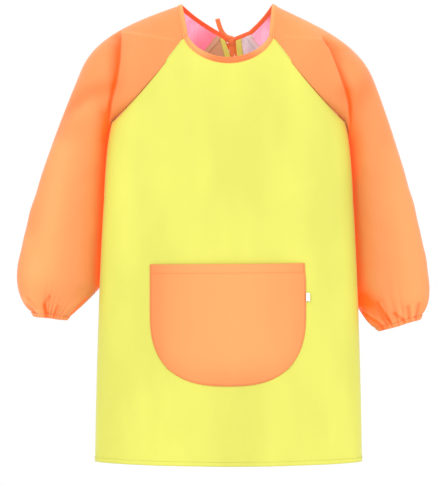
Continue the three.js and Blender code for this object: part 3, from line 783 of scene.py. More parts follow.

# ---------------------------------------------------------------- sleeves

# Folds of each sleeve's front. line: where the arm tucks behind the chest, as height and half width;
# width: how wide the tuck is at each height, down to its depth and its share of painted shade; strip: the
# painted shade beside the body, where the sleeve lies in its shadow. Valleys and ridges are lines of half
# width and height, each with its depth or height, its width and its share of painted shade in the valley
# or painted highlight on the ridge.
FOLDS = {
    "right": dict(
        line=[(-125, 170), (-103, 167), (-72, 159), (-41.5, 154.8), (-3, 153.8), (8, 153)],
        width=[(-118, 3), (-96, 5), (-72, 9), (-41, 13), (-3, 15)], top=0.0, depth=8.0, painted_shade=0.95,
        strip=[(-380, 9), (-300, 8), (-170, 10), (-110, 13)], strip_shade=0.85, strip_end=-400,
        valleys=[([(168, -80), (200, -86), (228, -108), (250, -142)], 2.4, 12, 0.42),
                 ([(158, -20), (160, -70)], 0.6, 11, 0.2), ([(178, -118), (176, -150)], 0.6, 9, 0.4),
                 ([(170, -108), (192, -240), (196, -340)], 0.0, 20, 0.1),
                 ([(287, -381), (276, -395)], 1.4, 2.0, 0.5), ([(289, -389), (279, -401)], 1.0, 1.8, 0.5),
                 ([(257, -378), (264, -390), (260, -407)], 1.8, 2.6, 0.7),
                 ([(264, -392), (261, -405)], 0.6, 4.0, 0.45),
                 ([(243, -392), (251, -408)], 1.4, 2.2, 0.7), ([(204, -380), (226, -404)], 1.0, 2.0, 0.55)],
        ridges=[([(236, -130), (204, -110)], 1.8, 13, 0.3), ([(240, -170), (266, -340)], 1.2, 24, 0.7),
                ([(288, -300), (284, -380)], 0.6, 14, 0.4), ([(294, -380), (269, -403)], 1.2, 2.2, 0.35),
                ([(78, -11), (153, 1)], 0.8, 1.8, 0.3), ([(241, -390), (246, -402)], 0.9, 1.8, 0.3)]),
    "left": dict(
        line=[(-123, 172), (-105, 170.6), (-83.5, 165.7), (-50.4, 154.8), (-23.8, 144.7), (-8.6, 134.6)],
        width=[(-118, 3), (-100, 6), (-83, 9), (-50, 8), (-24, 18), (-9, 8)], top=-8.0, depth=7.5, painted_shade=0.8,
        strip=[(-400, 18), (-320, 7), (-220, 6), (-170, 12), (-118, 15)], strip_shade=0.7, strip_end=-440,
        valleys=[([(168, -88), (186, -96), (206, -66)], 2.0, 14, 0.34),
                 ([(180, -90), (184, -200), (198, -330)], 0.6, 15, 0.12),
                 ([(196, -382), (212, -392), (223, -408)], 1.6, 10, 0.85),
                 ([(190, -397), (212, -416), (223, -424)], 1.8, 2.6, 0.9),
                 ([(213, -388), (225, -406), (232, -415)], 1.8, 2.0, 0.5),
                 ([(237, -402), (253, -414)], 1.6, 2.2, 0.8),
                 ([(257, -393), (259, -413)], 1.6, 3.4, 0.8), ([(273, -389), (267, -409)], 1.6, 3.0, 0.75),
                 ([(232, -412), (226, -424)], 0.8, 5, 0.4)],
        ridges=[([(200, -40), (232, -140)], 1.6, 14, 0.15), ([(250, -180), (268, -370)], 1.2, 26, 0.5),
                ([(217, -388), (236, -414)], 1.3, 2.0, 0.4), ([(197, -400), (222, -417)], 0.9, 1.8, 0.35),
                ([(264, -392), (263, -410)], 0.9, 2.0, 0.35), ([(246, -398), (256, -411)], 0.8, 1.8, 0.3),
                ([(78, -6), (133, -10)], 0.7, 1.8, 0.25)]),
}
# Folds of each sleeve's back: the line each follows, its height and its width. Grooves also get painted
# shade and ridges painted highlight.
BACK_FOLDS = [(((120, 6), (160, -112)), -4.0, 9), (((176, -60), (236, -150)), -3.0, 12),
              (((200, -200), (222, -330)), -1.6, 12), (((236, -180), (268, -320)), 1.2, 16)]


NECK_SAG = 1.5
TUCK_BACK, TUCK_IN, FLARE = 21.0, 1.8, 3.4


def sleeve_grid(half, front_columns=104, back_columns=62, upper=84, arm=106, gather=46):
    """Rows run from the neck to the cuff and turn up inside it. Columns run from the front raglan
    seam, or the inside of the arm (-1), over the outside (0) to the back (1)."""
    side = half["side"]
    k = np.concatenate([np.linspace(-1, 0, front_columns + 1), np.linspace(0, 1, back_columns + 1)[1:]])
    is_front = k < 0
    w = np.linspace(0, 1, upper + 1)[:, None]
    fx, fz, fd = front_seam(w)
    bx, bz, bd = back_seam(half, w)
    seam_x, seam_z, seam_d = (np.where(is_front, a, b) for a, b in ((fx, bx), (fz, bz), (fd, bd)))
    depth = mix(np.where(is_front, 24, 46), 34, w) + np.where(is_front, 15, 8) * hump(w)
    last = np.pi - np.arcsin(np.minimum(seam_d / depth, 1))
    angle = np.abs(k) * last
    share = (1 - np.cos(angle)) / (1 - np.cos(last))
    outer = (ARMPIT_HALF + half["reach"][0], ARMPIT + half["reach"][1])
    neck, (start, end) = half["neck"], half["handles"]
    top_x, top_z = bezier([neck, (neck[0] + start[0], neck[1] + start[1]),
                           (outer[0] - end[0], outer[1] + end[1]), outer], w)
    sag = NECK_SAG * hump(share) * np.where(is_front, 0, 1) * (1 - ease(w / 0.45))
    shoulder = stack(side * mix(top_x, seam_x, share), np.where(is_front, -1, 1) * depth * np.sin(angle),
                     mix(top_z, seam_z, share) - sag)

    def rings(ox, oz, ix, iz, half_depth, back=0.0):
        """Ellipses between outer and inner points of the arm, the inner one set back."""
        turn = np.abs(k) * np.pi
        part = (1 - np.cos(turn)) / 2
        y = np.where(is_front, -1, 1) * half_depth * np.sin(turn) + back * part**3
        return stack(side * mix(ox, ix, part), y, mix(oz, iz, part))

    t = np.linspace(0, 1, arm + 1)[1:, None]
    out_x = outer[0] + half["spread"] * (1 - (1 - t) ** 1.35)
    out_z = outer[1] - t * half["puff"]
    in_z = ARMPIT - t * half["puff_inner"]
    in_x = half_width(in_z) - TUCK_IN * ease(t * 8)
    tube = rings(out_x, out_z, in_x, in_z, mix(34, 31, t), TUCK_BACK * ease(t * 7))
    puff = np.array([outer[0] + half["spread"], outer[1] - half["puff"], float(in_x[-1, 0]), float(in_z[-1, 0])])
    cuff_out = puff[:2] + half["cuff"]
    cuff_in = cuff_out + half["across"]
    along = unit(cuff_out - cuff_in)
    cuff_out, cuff_in = cuff_out + FLARE * along, cuff_in - FLARE * along
    puff_mid, cuff_mid = (puff[:2] + puff[2:]) / 2, (cuff_out + cuff_in) / 2
    g = np.linspace(0, 1, gather + 1)[1:, None]
    round_drop, round_keep = np.sin(g * np.pi / 2), np.cos(g * np.pi / 2)

    def ends(cone, i, at):
        """A contour of the gathers: part quarter ellipse, part straight."""
        drop, keep = mix(round_drop, g, cone), mix(round_keep, 1 - g, cone)
        cuff_end = cuff_out if at == 0 else cuff_in
        return mix(puff_mid[i], cuff_mid[i], drop) + mix(cuff_end[i] - cuff_mid[i], puff[at + i] - puff_mid[i], keep)

    outer_cone, inner_cone = half["cone"]
    bag = rings(ends(outer_cone, 0, 0), ends(outer_cone, 1, 0), ends(inner_cone, 0, 2), ends(inner_cone, 1, 2),
                mix(17 + FLARE, 31, mix(round_keep, 1 - g, 0.35)), TUCK_BACK * (1 - ease(g * 1.3)))
    down = np.array([along[1], -along[0]])
    # The casing's rows: how far each lies along the arm past the cuff seam, and how far it draws in.
    fall = 0.66 * np.array([1.0, 2.2, 3.4, 4.6, 5.8, 7.0, 8.1, 8.9, 9.3, 9.2, 8.6, 7.4, 6.0, 4.6, 3.2, 2.0])[:, None]
    shrink = np.array([0.5, 1.2, 1.9, 2.5, 3.1, 3.7, 4.3, 4.9, 5.4, 5.8, 6.0, 6.1, 6.2, 6.2, 6.2, 6.2])[:, None]
    o, i = cuff_out - shrink * along, cuff_in + shrink * along
    casing = rings(o[:, :1] + fall * down[0], o[:, 1:] + fall * down[1], i[:, :1] + fall * down[0],
                   i[:, 1:] + fall * down[1], 17 + FLARE - shrink)
    grid = np.concatenate([shoulder, tube, bag, casing])
    rows = dict(arm=upper, puff=upper + arm, cuff=upper + arm + gather, turn=upper + arm + gather + 9)
    return grid, k, rows


def relax(grid, rows, first, last, passes=14):
    """Evens out a range of rows by averaging each with its neighbours, keeping the seams' ends."""
    out = grid.copy()
    weight = ease((rows - first) / 8) * ease((last - rows) / 8)
    for _ in range(passes):
        mean = out.copy()
        mean[1:-1] = (out[:-2] + 2 * out[1:-1] + out[2:]) / 4
        out = mix(out, mean, weight[:, None, None])
    seam = np.where(rows <= (first + last) // 2, 1.0, 0.0)[:, None, None]
    nearness = np.exp(-((1 - np.abs(np.linspace(-1, 1, grid.shape[1]))) / 0.06) ** 2)[None, :, None]
    return mix(out, grid, seam * nearness)


def sleeve_folds(half, grid, k, rows):
    """Displacement along the normal and painted shading of a sleeve: the crease where the hanging sleeve
    tucks behind the chest, the fold across the upper arm, slack creases lower down, and the pleats that
    the elastic gathers. Painted shade deepens the colour in the tuck, beside the body, in valleys and
    between pleats; painted highlight lightens ridges and the pleats' tops."""
    side, c = half["side"], FOLDS[half["name"]]
    x, z = side * grid[..., 0], grid[..., 2]
    front, back = ease(-k * 6), ease(k * 6)
    beyond = x - np.interp(z, *zip(*c["line"]))
    tuck = ease((beyond + 0.8) / 3.2) * np.exp(-((np.maximum(beyond, 0) / np.interp(z, *zip(*c["width"]))) ** 2))
    tuck = tuck * ease((c["top"] + 6 - z) / 12) * (1 - ease((-112 - z) / 40)) * front
    gap = np.maximum(x - half_width(np.minimum(z, ARMPIT)), 0)
    strip = np.exp(-((gap / np.interp(z, *zip(*c["strip"]))) ** 2)) * ease((-92 - z) / 30)
    strip = strip * (1 - ease((c["strip_end"] + 60 - z) / 90)) * ease(-k * 3) * ease((beyond + 1.5) / 3)
    shift = -c["depth"] * tuck
    # Painted shade: in the tuck behind the chest, and in the strip beside the body where the sleeve lies in its
    # shadow.
    painted_shading = c["painted_shade"] * tuck + c["strip_shade"] * strip
    on_arm = 1 - ease((np.arange(len(grid))[:, None] - rows["cuff"]) / 3)
    # Valleys add painted shade and ridges painted highlight.
    marks = [(e, -depth, wide, painted_shade) for e, depth, wide, painted_shade in c["valleys"]]
    marks += [(e, depth, wide, -ridge_highlight) for e, depth, wide, ridge_highlight in c["ridges"]]
    for line, height, wide, painted_shade in marks:
        mark = crease(x, z, line, 1.0, wide) * front
        height = height * on_arm
        shift, painted_shading = shift + height * mark, painted_shading + painted_shade * mark
    # Grooves of the back folds get painted shade, ridges painted highlight.
    for line, height, wide in BACK_FOLDS:
        mark = crease(x, z, line, 1.0, wide) * back
        shift, painted_shading = shift + height * mark, painted_shading - 0.08 * height * mark
    slack = wave_sum(z + 0.5 * x, [(0.5, 64, 0.3), (0.3, 37, 1.2)]) * np.sin(k * 7 + z / 60)
    shift = shift + slack * ease((-140 - z) / 60) * (1 - np.abs(k) ** 4)

    index = np.arange(len(grid))[:, None]
    height = lengths(grid[: rows["cuff"] + 1][::-1])[::-1]
    height = np.concatenate([height, np.zeros((len(grid) - len(height), grid.shape[1]))])
    turn = k * np.pi
    phase = 12.0 * (turn + 0.16 * np.sin(3 * turn + side) + 0.1 * np.sin(5 * turn + 2) + 0.05 * np.sin(9 * turn))
    ridge = np.abs(np.sin(phase)) ** 0.8
    finer = np.abs(np.sin(1.9 * phase + 0.7)) ** 0.8
    reach = 24 + 9 * np.sin(4 * turn + 1 + side) + 6 * np.sin(7 * turn)
    long = np.exp(-((height / reach) ** 1.5))
    short = np.exp(-((height / 9) ** 1.5))
    pleat = 3.0 * (ridge - 0.6) * long * (0.6 + 0.4 * ease(height / 7)) + 1.0 * (finer - 0.6) * short
    band = ease((index - rows["cuff"]) / 2)
    under = ease((index - rows["turn"] + 1) / 2)
    on_band = 1.5 * (ridge - 0.1) + 0.7 * finer
    pleat = np.where(index > rows["cuff"], mix(mix(pleat, on_band, band), -0.8 * ridge, under), pleat)
    # Painted shade in the pleats' valleys and painted highlight on their tops.
    painted_shading = painted_shading + (0.75 * (0.7 - ridge) * long + 0.7 * (0.6 - finer) * short) * (index <= rows["turn"])
    pinch = -0.5 * np.exp(-((height / 1.6) ** 2)) * (index <= rows["cuff"])
    return shift, pleat + pinch, np.clip(painted_shading, -1, 1)


sleeves = {}
for half in (RIGHT, LEFT):
    side, name = half["side"], half["name"]
    grid, k, rows = sleeve_grid(half)
    grid = relax(grid, np.arange(len(grid)), rows["arm"] - 22, rows["arm"] + 26)
    middle = grid.mean(axis=1, keepdims=True)
    shift, pleat, painted_shading = sleeve_folds(half, grid, k, rows)
    normal = normals_of(grid)
    out = 1.0 if (normal * (grid - middle))[rows["arm"] : rows["cuff"]].sum() > 0 else -1.0
    outward = unit(grid - middle)
    grid = grid + out * normal * shift[..., None] + outward * pleat[..., None]
    upper = rolled(grid[: rows["arm"] + 1], [("first", out), ("last", out)])
    fade = ease((rows["arm"] - np.arange(rows["arm"] + 1)) / 6)[:, None, None]
    grid[: rows["arm"] + 1] = mix(grid[: rows["arm"] + 1], upper, fade)
    closed = np.arange(len(grid)) >= rows["arm"]
    grid[closed, 0] = grid[closed, -1] = (grid[closed, 0] + grid[closed, -1]) / 2
    part = slice(0, rows["arm"] - 3)
    w = np.linspace(0, 1, rows["arm"] + 1)[part, None]
    over = ease((0.5 - w) / 0.2) * ease(w / 0.06)
    for end, beside, lap in ((0, 1, over), (-1, -2, 0 * over)):
        edge, next_in = grid[part, end], grid[part, beside]
        grid[part, end] = edge + unit(edge - next_in) * (1.8 + 1.5 * lap) - out * normal[part, end] * 0.9 * (1 - lap)
    sleeves[name] = (grid, rows)
    # The lining's darker colour round the neck is painted shade.
    piece = sheet_piece(f"sleeve_cloth_{name}", grid, ORANGE, ORANGE_REVERSE, CLOTH, closed=closed,
                        painted_shading=painted_shading, inner=half["inside"](k)[None, :], away=middle)
    half["sleeve_piece"] = piece


def sleeve_blend(obj, half):
    """Bakes the sleeve's placement into its mesh."""
    side = half["side"]
    "sleeve_" + half["name"]
    side * 0.172
    side * 0.232
    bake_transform(obj)


for half in (RIGHT, LEFT):
    name = half["name"]
    sleeve_blend(half["sleeve_piece"], half)
    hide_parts(f"shoulder_{name}", f"sleeve_{name}", f"cuff_casing_{name}")
    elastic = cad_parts[f"cuff_elastic_{name}"]
    elastic.data.materials.clear()
    elastic.data.materials.append(ELASTIC)

# ---------------------------------------------------------------- pocket and tab

pocket_low, pocket_high = corner_mm("pocket_panel")
POCKET_HALF = (pocket_high[0] - pocket_low[0]) / 2
POCKET_LOW, POCKET_TOP = pocket_low[2], pocket_high[2]
POCKET_ROUND = 108.0
POCKET_MIDDLE = POCKET_LOW + POCKET_ROUND
SEAT, POCKET_HEM, POCKET_STITCH = 1.8, 13.0, 2.4
POCKET_SHARE, POCKET_SHIFT = 0.984, 0.9


def pocket_rim(angle):
    """Rounded outline: a superellipse, by its angle below the level of its widest point."""
    power = 2 / 2.6
    c, s = np.cos(angle), np.sin(angle)
    return np.sign(c) * POCKET_HALF * np.abs(c) ** power, POCKET_MIDDLE - POCKET_ROUND * np.abs(s) ** power


def pocket_grid(rows=80, columns=110):
    """The unit square bent onto the pocket: u runs across, v from the rounded bottom to the mouth."""
    u = np.linspace(0, 1, columns + 1)[None]
    v = np.linspace(0, 1, rows + 1)[:, None]
    part = 0.35
    bend_x, bend_z = pocket_rim(np.pi / 4 * (1 - np.minimum(v / part, 1)))
    side_x = np.where(v < part, bend_x, POCKET_HALF)
    side_z = np.where(v < part, bend_z, mix(POCKET_MIDDLE, POCKET_TOP, (v - part) / (1 - part)))
    base_x, base_z = pocket_rim(3 * np.pi / 4 - u * np.pi / 2)
    corner_x, corner_z = pocket_rim(np.pi / 4)
    across = 2 * u - 1
    x = mix(base_x, POCKET_HALF * across, v) + across * (side_x - mix(corner_x, POCKET_HALF, v))
    z = mix(base_z, POCKET_TOP, v) + side_z - mix(corner_z, POCKET_TOP, v)
    rim = np.minimum(np.minimum(u, 1 - u) * 2 * POCKET_HALF, v * 150)
    gape = 2.8 * np.sqrt(hump(u)) * v**1.2
    swell = 1.1 * (1 - np.exp(-rim / 3.5)) + 0.7 * np.sin(x / 37 + 0.4) * np.sin(z / 29) * ease(rim / 30)
    pucker = 0.22 * np.sin(2 * np.pi * (x + z) / 6.4) * np.exp(-(((rim - 2.5) / 3) ** 2))
    mouth = POCKET_TOP - z
    hem = 0.3 * (1 - ease((mouth - POCKET_HEM) / 1.4)) - 0.25 * np.exp(-(((mouth - 12.6) / 1.0) ** 2))
    hem = hem + 0.25 * np.sin(2 * np.pi * x / 7.5) * np.exp(-(((mouth - 12) / 5) ** 2))
    # Painted shading: painted highlight over the pocket's middle, and painted shade at its rim, towards its first edge
    # and along the hem's groove.
    painted_shading = -0.6 * np.sin(np.pi * u) ** 0.7 * ease(rim / 34) + 0.08 * np.exp(-rim / 2.2)
    painted_shading = painted_shading + 0.12 * np.exp(-((u / 0.16) ** 2)) + 0.03 * np.exp(-(((mouth - 12.6) / 1.2) ** 2))
    lean = 1.9 * ease((v - 0.72) / 0.28) * (across > 0) * np.abs(across) ** 4
    level = (0.9 * across - 0.5 * (1 - across**2)) * v**3
    x = x * POCKET_SHARE - lean - POCKET_SHIFT
    z = POCKET_TOP + (z - POCKET_TOP) * POCKET_SHARE + level
    return stack(x, front_y(x, z) - SEAT + 0.9 - gape - swell - pucker - hem, z), painted_shading


pocket, pocket_painted_shading = pocket_grid()
POCKET_OUT = facing(pocket, BODY_MIDDLE)
pocket_piece = sheet_piece("pocket_cloth", pocket, ORANGE, ORANGE_REVERSE, CLOTH, painted_shading=pocket_painted_shading, away=BODY_MIDDLE)
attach(pocket_piece, "body")
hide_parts("pocket_panel")

tab_low, tab_high = corner_mm("pocket_tab")


def tab_grid():
    """A short tape folded double: its section is a long flat loop, open where it is sewn in."""
    u = np.linspace(0, 1, 25)[None]
    v = np.linspace(0, 1, 13)[:, None]
    width = tab_high[0] - tab_low[0] + 0.2
    turn = np.clip((u - 0.42) / 0.16, 0, 1) * np.pi
    flat = np.where(u < 0.42, u / 0.42, np.where(u > 0.58, (1 - u) / 0.42, 1.0))
    x = tab_low[0] - 3.8 + width * flat + 0.4 * np.sin(turn)
    z = mix(tab_high[2], tab_low[2], v) + 0.25 * np.sin(flat * 5)
    lift = 0.75 * np.cos(turn)
    return stack(x, front_y(x, z) - 2.3 - 0.8 * flat - lift, z)


tab = tab_grid()
tab_piece = sheet_piece("tab_tape", tab, WHITE_TAPE, WHITE_TAPE, 0.35)
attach(tab_piece, "body")
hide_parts("pocket_tab")

# ---------------------------------------------------------------- neck binding


def neck_stations():
    """Points round the neck edge from the right back end to the left one, and the way the cloth
    runs on past each."""
    runs = []
    for half in (RIGHT, LEFT):
        grid, _ = sleeves[half["name"]]
        back = backs[half["name"]]
        back_edge, back_way = back[-1][::-1], (back[-1] - back[-5])[::-1]
        edge, way = grid[0][::-1], (grid[0] - grid[4])[::-1]
        runs.append([(back_edge, back_way), (edge, way)])
    front_run = (front[-1], front[-1] - front[-5])
    right, left = runs
    order = [right[0], right[1], front_run] + [(p[::-1], w[::-1]) for p, w in left[::-1]]
    points = np.concatenate([p for p, _ in order])
    ways = np.concatenate([unit(w) for _, w in order])
    run = np.concatenate([[0], np.cumsum(np.linalg.norm(np.diff(points, axis=0), axis=1))])
    keep = np.concatenate([[True], np.diff(run) > 0.05])
    at = np.linspace(0, run[-1], 420)
    points = np.stack([np.interp(at, run[keep], points[keep][:, i]) for i in range(3)], 1)
    ways = unit(np.stack([np.interp(at, run[keep], ways[keep][:, i]) for i in range(3)], 1))

    def smooth(a, passes):
        for _ in range(passes):
            a = np.concatenate([a[:1], (a[:-2] + 2 * a[1:-1] + a[2:]) / 4, a[-1:]])
        return a

    return smooth(points, 12), unit(smooth(ways, 60)), at


BINDING_THICK, BINDING_AROUND = 2.3, 28
WIDTH_FRONT, WIDTH_SIDE, WIDTH_BACK = 8.8, 7.4, 6.6


def binding_rings(points, ways, at, around=BINDING_AROUND):
    """A folded tape round the neck: a flat loop of a section that rises from the cloth's edge,
    puckered a little by its stitching."""
    along = unit(np.gradient(points, axis=0))
    ways = unit(ways - (ways * along).sum(axis=1, keepdims=True) * along)
    out = np.cross(along, ways)
    middle_width = mix(WIDTH_FRONT, WIDTH_BACK, points[:, 1] > 0)
    width = mix(WIDTH_SIDE, middle_width, ease((np.abs(points[:, 1]) - 18) / 24))[:, None]
    centre = points + ways * (width / 2 - 0.7)
    angle = np.linspace(0, 2 * np.pi, around, endpoint=False)[None]
    c = np.sign(np.cos(angle)) * np.abs(np.cos(angle)) ** 0.55
    s = np.sign(np.sin(angle)) * np.abs(np.sin(angle)) ** 0.75
    rise = c * width / 2
    low = ease((-rise - 1.2) / 2.5)
    ripple = 0.16 * np.sin(2 * np.pi * (at[:, None] + 0.9 * rise) / 6.2 + 1.8 * np.sin(at[:, None] / 17))
    groove = 0.28 * np.exp(-(((rise + width / 2 - 2.2) / 0.6) ** 2))
    thick = BINDING_THICK / 2 * (1 - 0.15 * low) + ripple - groove
    return centre[:, None] + ways[:, None] * rise[..., None] + out[:, None] * (s * thick)[..., None], out


neck_points, neck_ways, neck_at = neck_stations()
rings, neck_out = binding_rings(neck_points, neck_ways, neck_at)
# Painted shading of the tape: painted shade on its inner half, most at the back on the wearer's right, and painted
# highlight on its outer half at the front, away from the middle.
inside = np.where(np.arange(BINDING_AROUND) < BINDING_AROUND // 2, 0.0, 0.55)
neck_centre = np.array([3.0, 0.0, -8.0])
if (neck_out * (neck_points - neck_centre)).sum() < 0:
    inside = 0.55 - inside
binding_shade = mix(1.5, 0.5, ease((neck_points[:, :1] + 30) / 60)) * ease((neck_points[:, 1:2] + 5) / 20)
binding_highlight = ease((np.abs(neck_points[:, :1] - OPENING_CENTRE) - 22) / 30) * (1 - ease((neck_points[:, 1:2] - 20) / 20))
binding_painted_shading = binding_shade * inside[None] - binding_highlight * (inside[None] == 0)
binding_piece = tube_piece("neck_binding_tape", rings, TAPE, painted_shading=binding_painted_shading.reshape(-1))
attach(binding_piece, "body")
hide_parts("neck_binding")

# ---------------------------------------------------------------- knot and ties

TAPE_WIDTH, TAPE_THICK = 0.007, 0.0016
LOOPS = {
    "right": [(-0.0006, 0.0532, -0.0103), (-0.0018, 0.0558, -0.02), (-0.006, 0.0576, -0.033), (-0.013, 0.0578, -0.046),
              (-0.021, 0.0576, -0.051), (-0.026, 0.0574, -0.045), (-0.022, 0.0572, -0.033), (-0.014, 0.0568, -0.021),
              (-0.007, 0.0548, -0.012), (-0.0032, 0.0532, -0.0072)],
    "left": [(0.0086, 0.0532, -0.0103), (0.01, 0.0558, -0.021), (0.015, 0.0576, -0.036), (0.023, 0.0578, -0.053),
             (0.033, 0.0576, -0.061), (0.039, 0.0574, -0.054), (0.035, 0.0572, -0.04), (0.024, 0.0568, -0.024),
             (0.0156, 0.0548, -0.0125), (0.0112, 0.0532, -0.0072)],
}
TAILS = {
    "right": [(0.0042, 0.0505, -0.0126), (0.0048, 0.0509, -0.024), (0.0075, 0.0511, -0.042), (0.0095, 0.0512, -0.062),
              (0.0085, 0.0512, -0.084), (0.0105, 0.0512, -0.104)],
    "left": [(-0.0004, 0.05, -0.0016), (-0.0055, 0.0502, 0.0015), (-0.0095, 0.0492, 0.0065), (-0.0128, 0.0476, 0.014),
             (-0.0162, 0.046, 0.025)],
}
THROUGH = {"right": [(0.0015, 0.0508, -0.0082)], "left": [(0.0066, 0.0514, -0.0046)]}
knot_low, knot_high = corner_mm("tie_knot")
KNOT = (knot_low + knot_high) / 2


def tie_tape(name):
    """One tie: out of the knot round its loop, back through the knot and along its tail. The tape's
    width points away from the back on the loop and lies along it on the tail."""
    route = np.array(LOOPS[name] + THROUGH[name] + TAILS[name]) / MM
    path = spline(route, 130)
    run = lengths(path)
    loop_end = run[np.argmin(np.linalg.norm(path - np.array(THROUGH[name][0]) / MM, axis=1))]
    turn = ease((run - loop_end + 8) / 16)[:, None]
    twist = 0.5 * np.sin(run / run[-1] * 5)[:, None]
    near = np.exp(-((np.linalg.norm(path - KNOT, axis=1) / 22) ** 2))[:, None]
    edge_on = np.array([0.35, 1.0, 0.25]) + twist * np.array([0.8, 0, 0.4])
    wide = mix(mix(edge_on, np.array([0.95, 0.4, 0.1]), near), np.array([1.0, 0.25, 0.35]), turn)
    pinch = 1 - 0.35 * np.exp(-(((run - loop_end) / 6) ** 2))
    rings = band_rings(path, wide, TAPE_WIDTH / MM * pinch, TAPE_THICK / MM, around=16)
    piece = tube_piece(f"tie_tape_{name}", rings, TAPE)
    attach(piece, "body")
    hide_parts(f"tie_loop_{name}", f"tie_tail_{name}")
    return piece, path, rings


def knot_piece():
    """Two bands of tape drawn tight round each other: one round the bundle, one across it."""
    turn = np.linspace(0, 2 * np.pi, 60, endpoint=False)
    lean = 0.35
    y, z = 4.6 * np.cos(turn), 6.0 * np.sin(turn)
    wrap = KNOT + np.stack([lean * z * 0.6, y, z], 1)
    wrap_rings = band_rings(wrap, np.tile([1.0, 0.0, -lean], (60, 1)), 7.6, 1.3, around=12)
    band = tube_piece("wrap", wrap_rings, TAPE, loop=True)
    x = np.linspace(-10.0, 8.0, 40)
    across = KNOT + np.stack([x, 0.7 * np.sin(x / 2.4), -1.2 * np.sin(x / 3.8)], 1)
    core_width, core_thick = 6.6 - 2.2 * np.exp(-((x / 3) ** 2)), 2.0 + 3.2 * np.exp(-((x / 3.4) ** 2))
    core_rings = band_rings(across, np.tile([0.0, 0.25, 1.0], (40, 1)), core_width, core_thick,
                            around=18, squareness=2.2)
    core = tube_piece("core", core_rings, TAPE)
    second = KNOT + np.stack([4.8 * np.cos(turn), 3.9 * np.cos(turn + 1.1), 4.3 * np.sin(turn)], 1)
    cross_rings = band_rings(second, np.tile([0.2, 1.0, 0.3], (60, 1)), 4.6, 1.2, around=12)
    cross = tube_piece("cross", cross_rings, TAPE, loop=True)
    return joined("tie_knot_tape", [band, core, cross])


ties = {name: tie_tape(name) for name in ("right", "left")}
knot = knot_piece()
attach(knot, "body")
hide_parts("tie_knot")
for name, (piece, path, _) in ties.items():
    (path * MM).tolist()
    [knot] if name == "right" else []

# ---------------------------------------------------------------- seam allowances inside


def allowance(name, grid, out, rows, edge, finish, width=9.0, inner=0.0):
    """A strip of the seam's cloth pressed flat inside: it follows the panel from just past its
    edge to the strip's width, and stands off it by the cloth's thickness."""
    part = grid[rows]
    lines = [line_at(part, max(d, 0.0), edge) for d in np.linspace(0, width, 8)]
    points = np.stack([p for p, _ in lines])
    normal = np.stack([n for _, n in lines])
    points[0] += (points[0] - points[1]) * 0.8
    lift = 1.5 + 0.35 * np.linspace(0, 1, 8)[:, None] ** 2
    ripple = 0.2 * np.sin(np.arange(points.shape[1]) / 3.1)[None] * np.linspace(0, 1, 8)[:, None]
    points = points - out * normal * (lift + ripple)[..., None]
    return sheet_piece(name, points, finish, finish, 0.4, inner=np.array([inner]), away=BODY_MIDDLE)


for edge, name in (("first", "right"), ("last", "left")):
    strip = allowance(f"front_seam_strip_{name}", front, OUT, slice(6, None), edge, YELLOW)
    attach(strip, "body")
for half in (RIGHT, LEFT):
    name = half["name"]
    grid = backs[name]
    out = facing(grid, BODY_MIDDLE)
    # The back seam strips take the reverse's darker colour as painted shade, most on the wearer's right.
    strip = allowance(f"back_seam_strip_{name}", grid, out, slice(LOWER_ROWS, None), "first", YELLOW_REVERSE,
                      inner=0.8 if half["side"] < 0 else 0.2)
    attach(strip, "body")


def turned_hem(name, grid, out, edge, finish, width):
    """The hem's inner layer: the cloth folds round the edge and lies flat inside to the hem's
    width, right side showing."""
    steps = np.array([0.05, 0.05, 0.4, 1.2, *np.linspace(2.5, width, 4)])
    lift = np.array([0.3, 0.75, 1.05, 1.2, 1.25, 1.25, 1.25, 1.3])[:, None]
    lines = [line_at(grid, d, edge) for d in steps]
    points = np.stack([p for p, _ in lines]) - out * np.stack([n for _, n in lines]) * lift[..., None]
    return sheet_piece(name, points, finish, finish, 0.4, away=BODY_MIDDLE)


front_hem = turned_hem("turned_hem_front", front, OUT, "bottom", YELLOW, HEM_HEIGHT + 1.5)
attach(front_hem, "body")
pocket_hem = turned_hem("turned_hem_pocket", pocket, POCKET_OUT, "top", ORANGE, POCKET_HEM)
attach(pocket_hem, "body")
back_hems = {}
for half in (RIGHT, LEFT):
    name, grid = half["name"], backs[half["name"]]
    out = facing(grid, BODY_MIDDLE)
    back_hems[name] = [turned_hem(f"turned_hem_{name}", grid, out, "bottom", YELLOW, HEM_HEIGHT + 1.5),
                       turned_hem(f"turned_edge_{name}", grid, out, "last", YELLOW, 8.5)]
    for piece in back_hems[name]:
        fold_blend(piece, half["side"])

# ---------------------------------------------------------------- stitching


def shown(line_and_normal, out):
    """A line on a grid with its normals turned to the right side."""
    line, normal = line_and_normal
    return line, normal * out


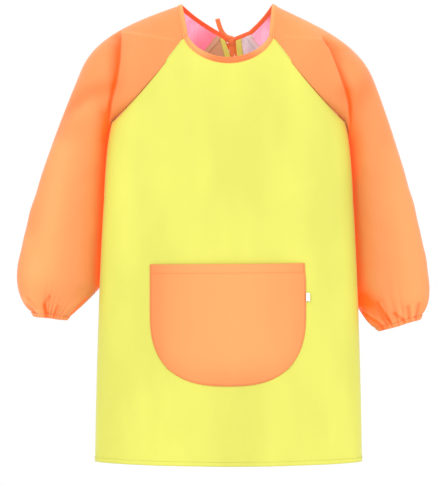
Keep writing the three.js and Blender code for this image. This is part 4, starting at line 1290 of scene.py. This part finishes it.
front_stitch = stitches("stitching_front_hem", [shown(line_at(front, HEM_HEIGHT, "bottom"), OUT)], YELLOW_THREAD)
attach(front_stitch, "body")
for half in (RIGHT, LEFT):
    grid = backs[half["name"]]
    out = facing(grid, BODY_MIDDLE)
    runs = [shown(line_at(grid, HEM_HEIGHT, "bottom"), out), shown(line_at(grid, 7.4, "last"), out)]
    piece = stitches(f"stitching_back_{half['name']}", runs, YELLOW_THREAD)
    fold_blend(piece, half["side"])
pocket_lines = [("top", 12.4), ("first", POCKET_STITCH), ("last", POCKET_STITCH), ("bottom", POCKET_STITCH)]
pocket_runs = [shown(line_at(pocket, inset, edge), POCKET_OUT) for edge, inset in pocket_lines]
pocket_stitch = stitches("stitching_pocket", pocket_runs, ORANGE_THREAD)
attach(pocket_stitch, "body")
face = neck_out * (1.0 if (neck_out * (neck_points - neck_centre)).sum() > 0 else -1.0)
binding_line = neck_points + neck_ways * 1.5
binding_runs = [(binding_line + face * 0.95, face), (binding_line - face * 0.95, -face)]
binding_stitch = stitches("stitching_binding", binding_runs, ORANGE_THREAD, pitch=2.8)
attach(binding_stitch, "body")
for half in (RIGHT, LEFT):
    grid, rows = sleeves[half["name"]]
    line = grid[rows["cuff"] + 1]
    normal = unit(line - line.mean(axis=0))
    piece = stitches(f"stitching_cuff_{half['name']}", [(line, normal)], ORANGE_THREAD, pitch=2.6)
    sleeve_blend(piece, half)

for half in (RIGHT, LEFT):
    name = half["name"]


FLOOR_RADIUS, FLOOR_LEVEL, FLOOR_SIDES = 2600.0, -900.0, 96


def make_floor():
    """A round pale floor well below the smock."""
    turn = np.linspace(0, 2 * np.pi, FLOOR_SIDES, endpoint=False)
    rim = stack(FLOOR_RADIUS * np.cos(turn), FLOOR_RADIUS * np.sin(turn), FLOOR_LEVEL)
    obj = write_mesh("floor", rim, np.arange(FLOOR_SIDES)[None])
    f = Finish("floor_paint", Roughness=0.9)
    f.set(Base_Color=f.blend(f.noise(3, 2) * 0.1, (0.86, 0.86, 0.86, 1), (0.8, 0.8, 0.8, 1)))
    obj.data.materials.append(f.material)


make_floor()
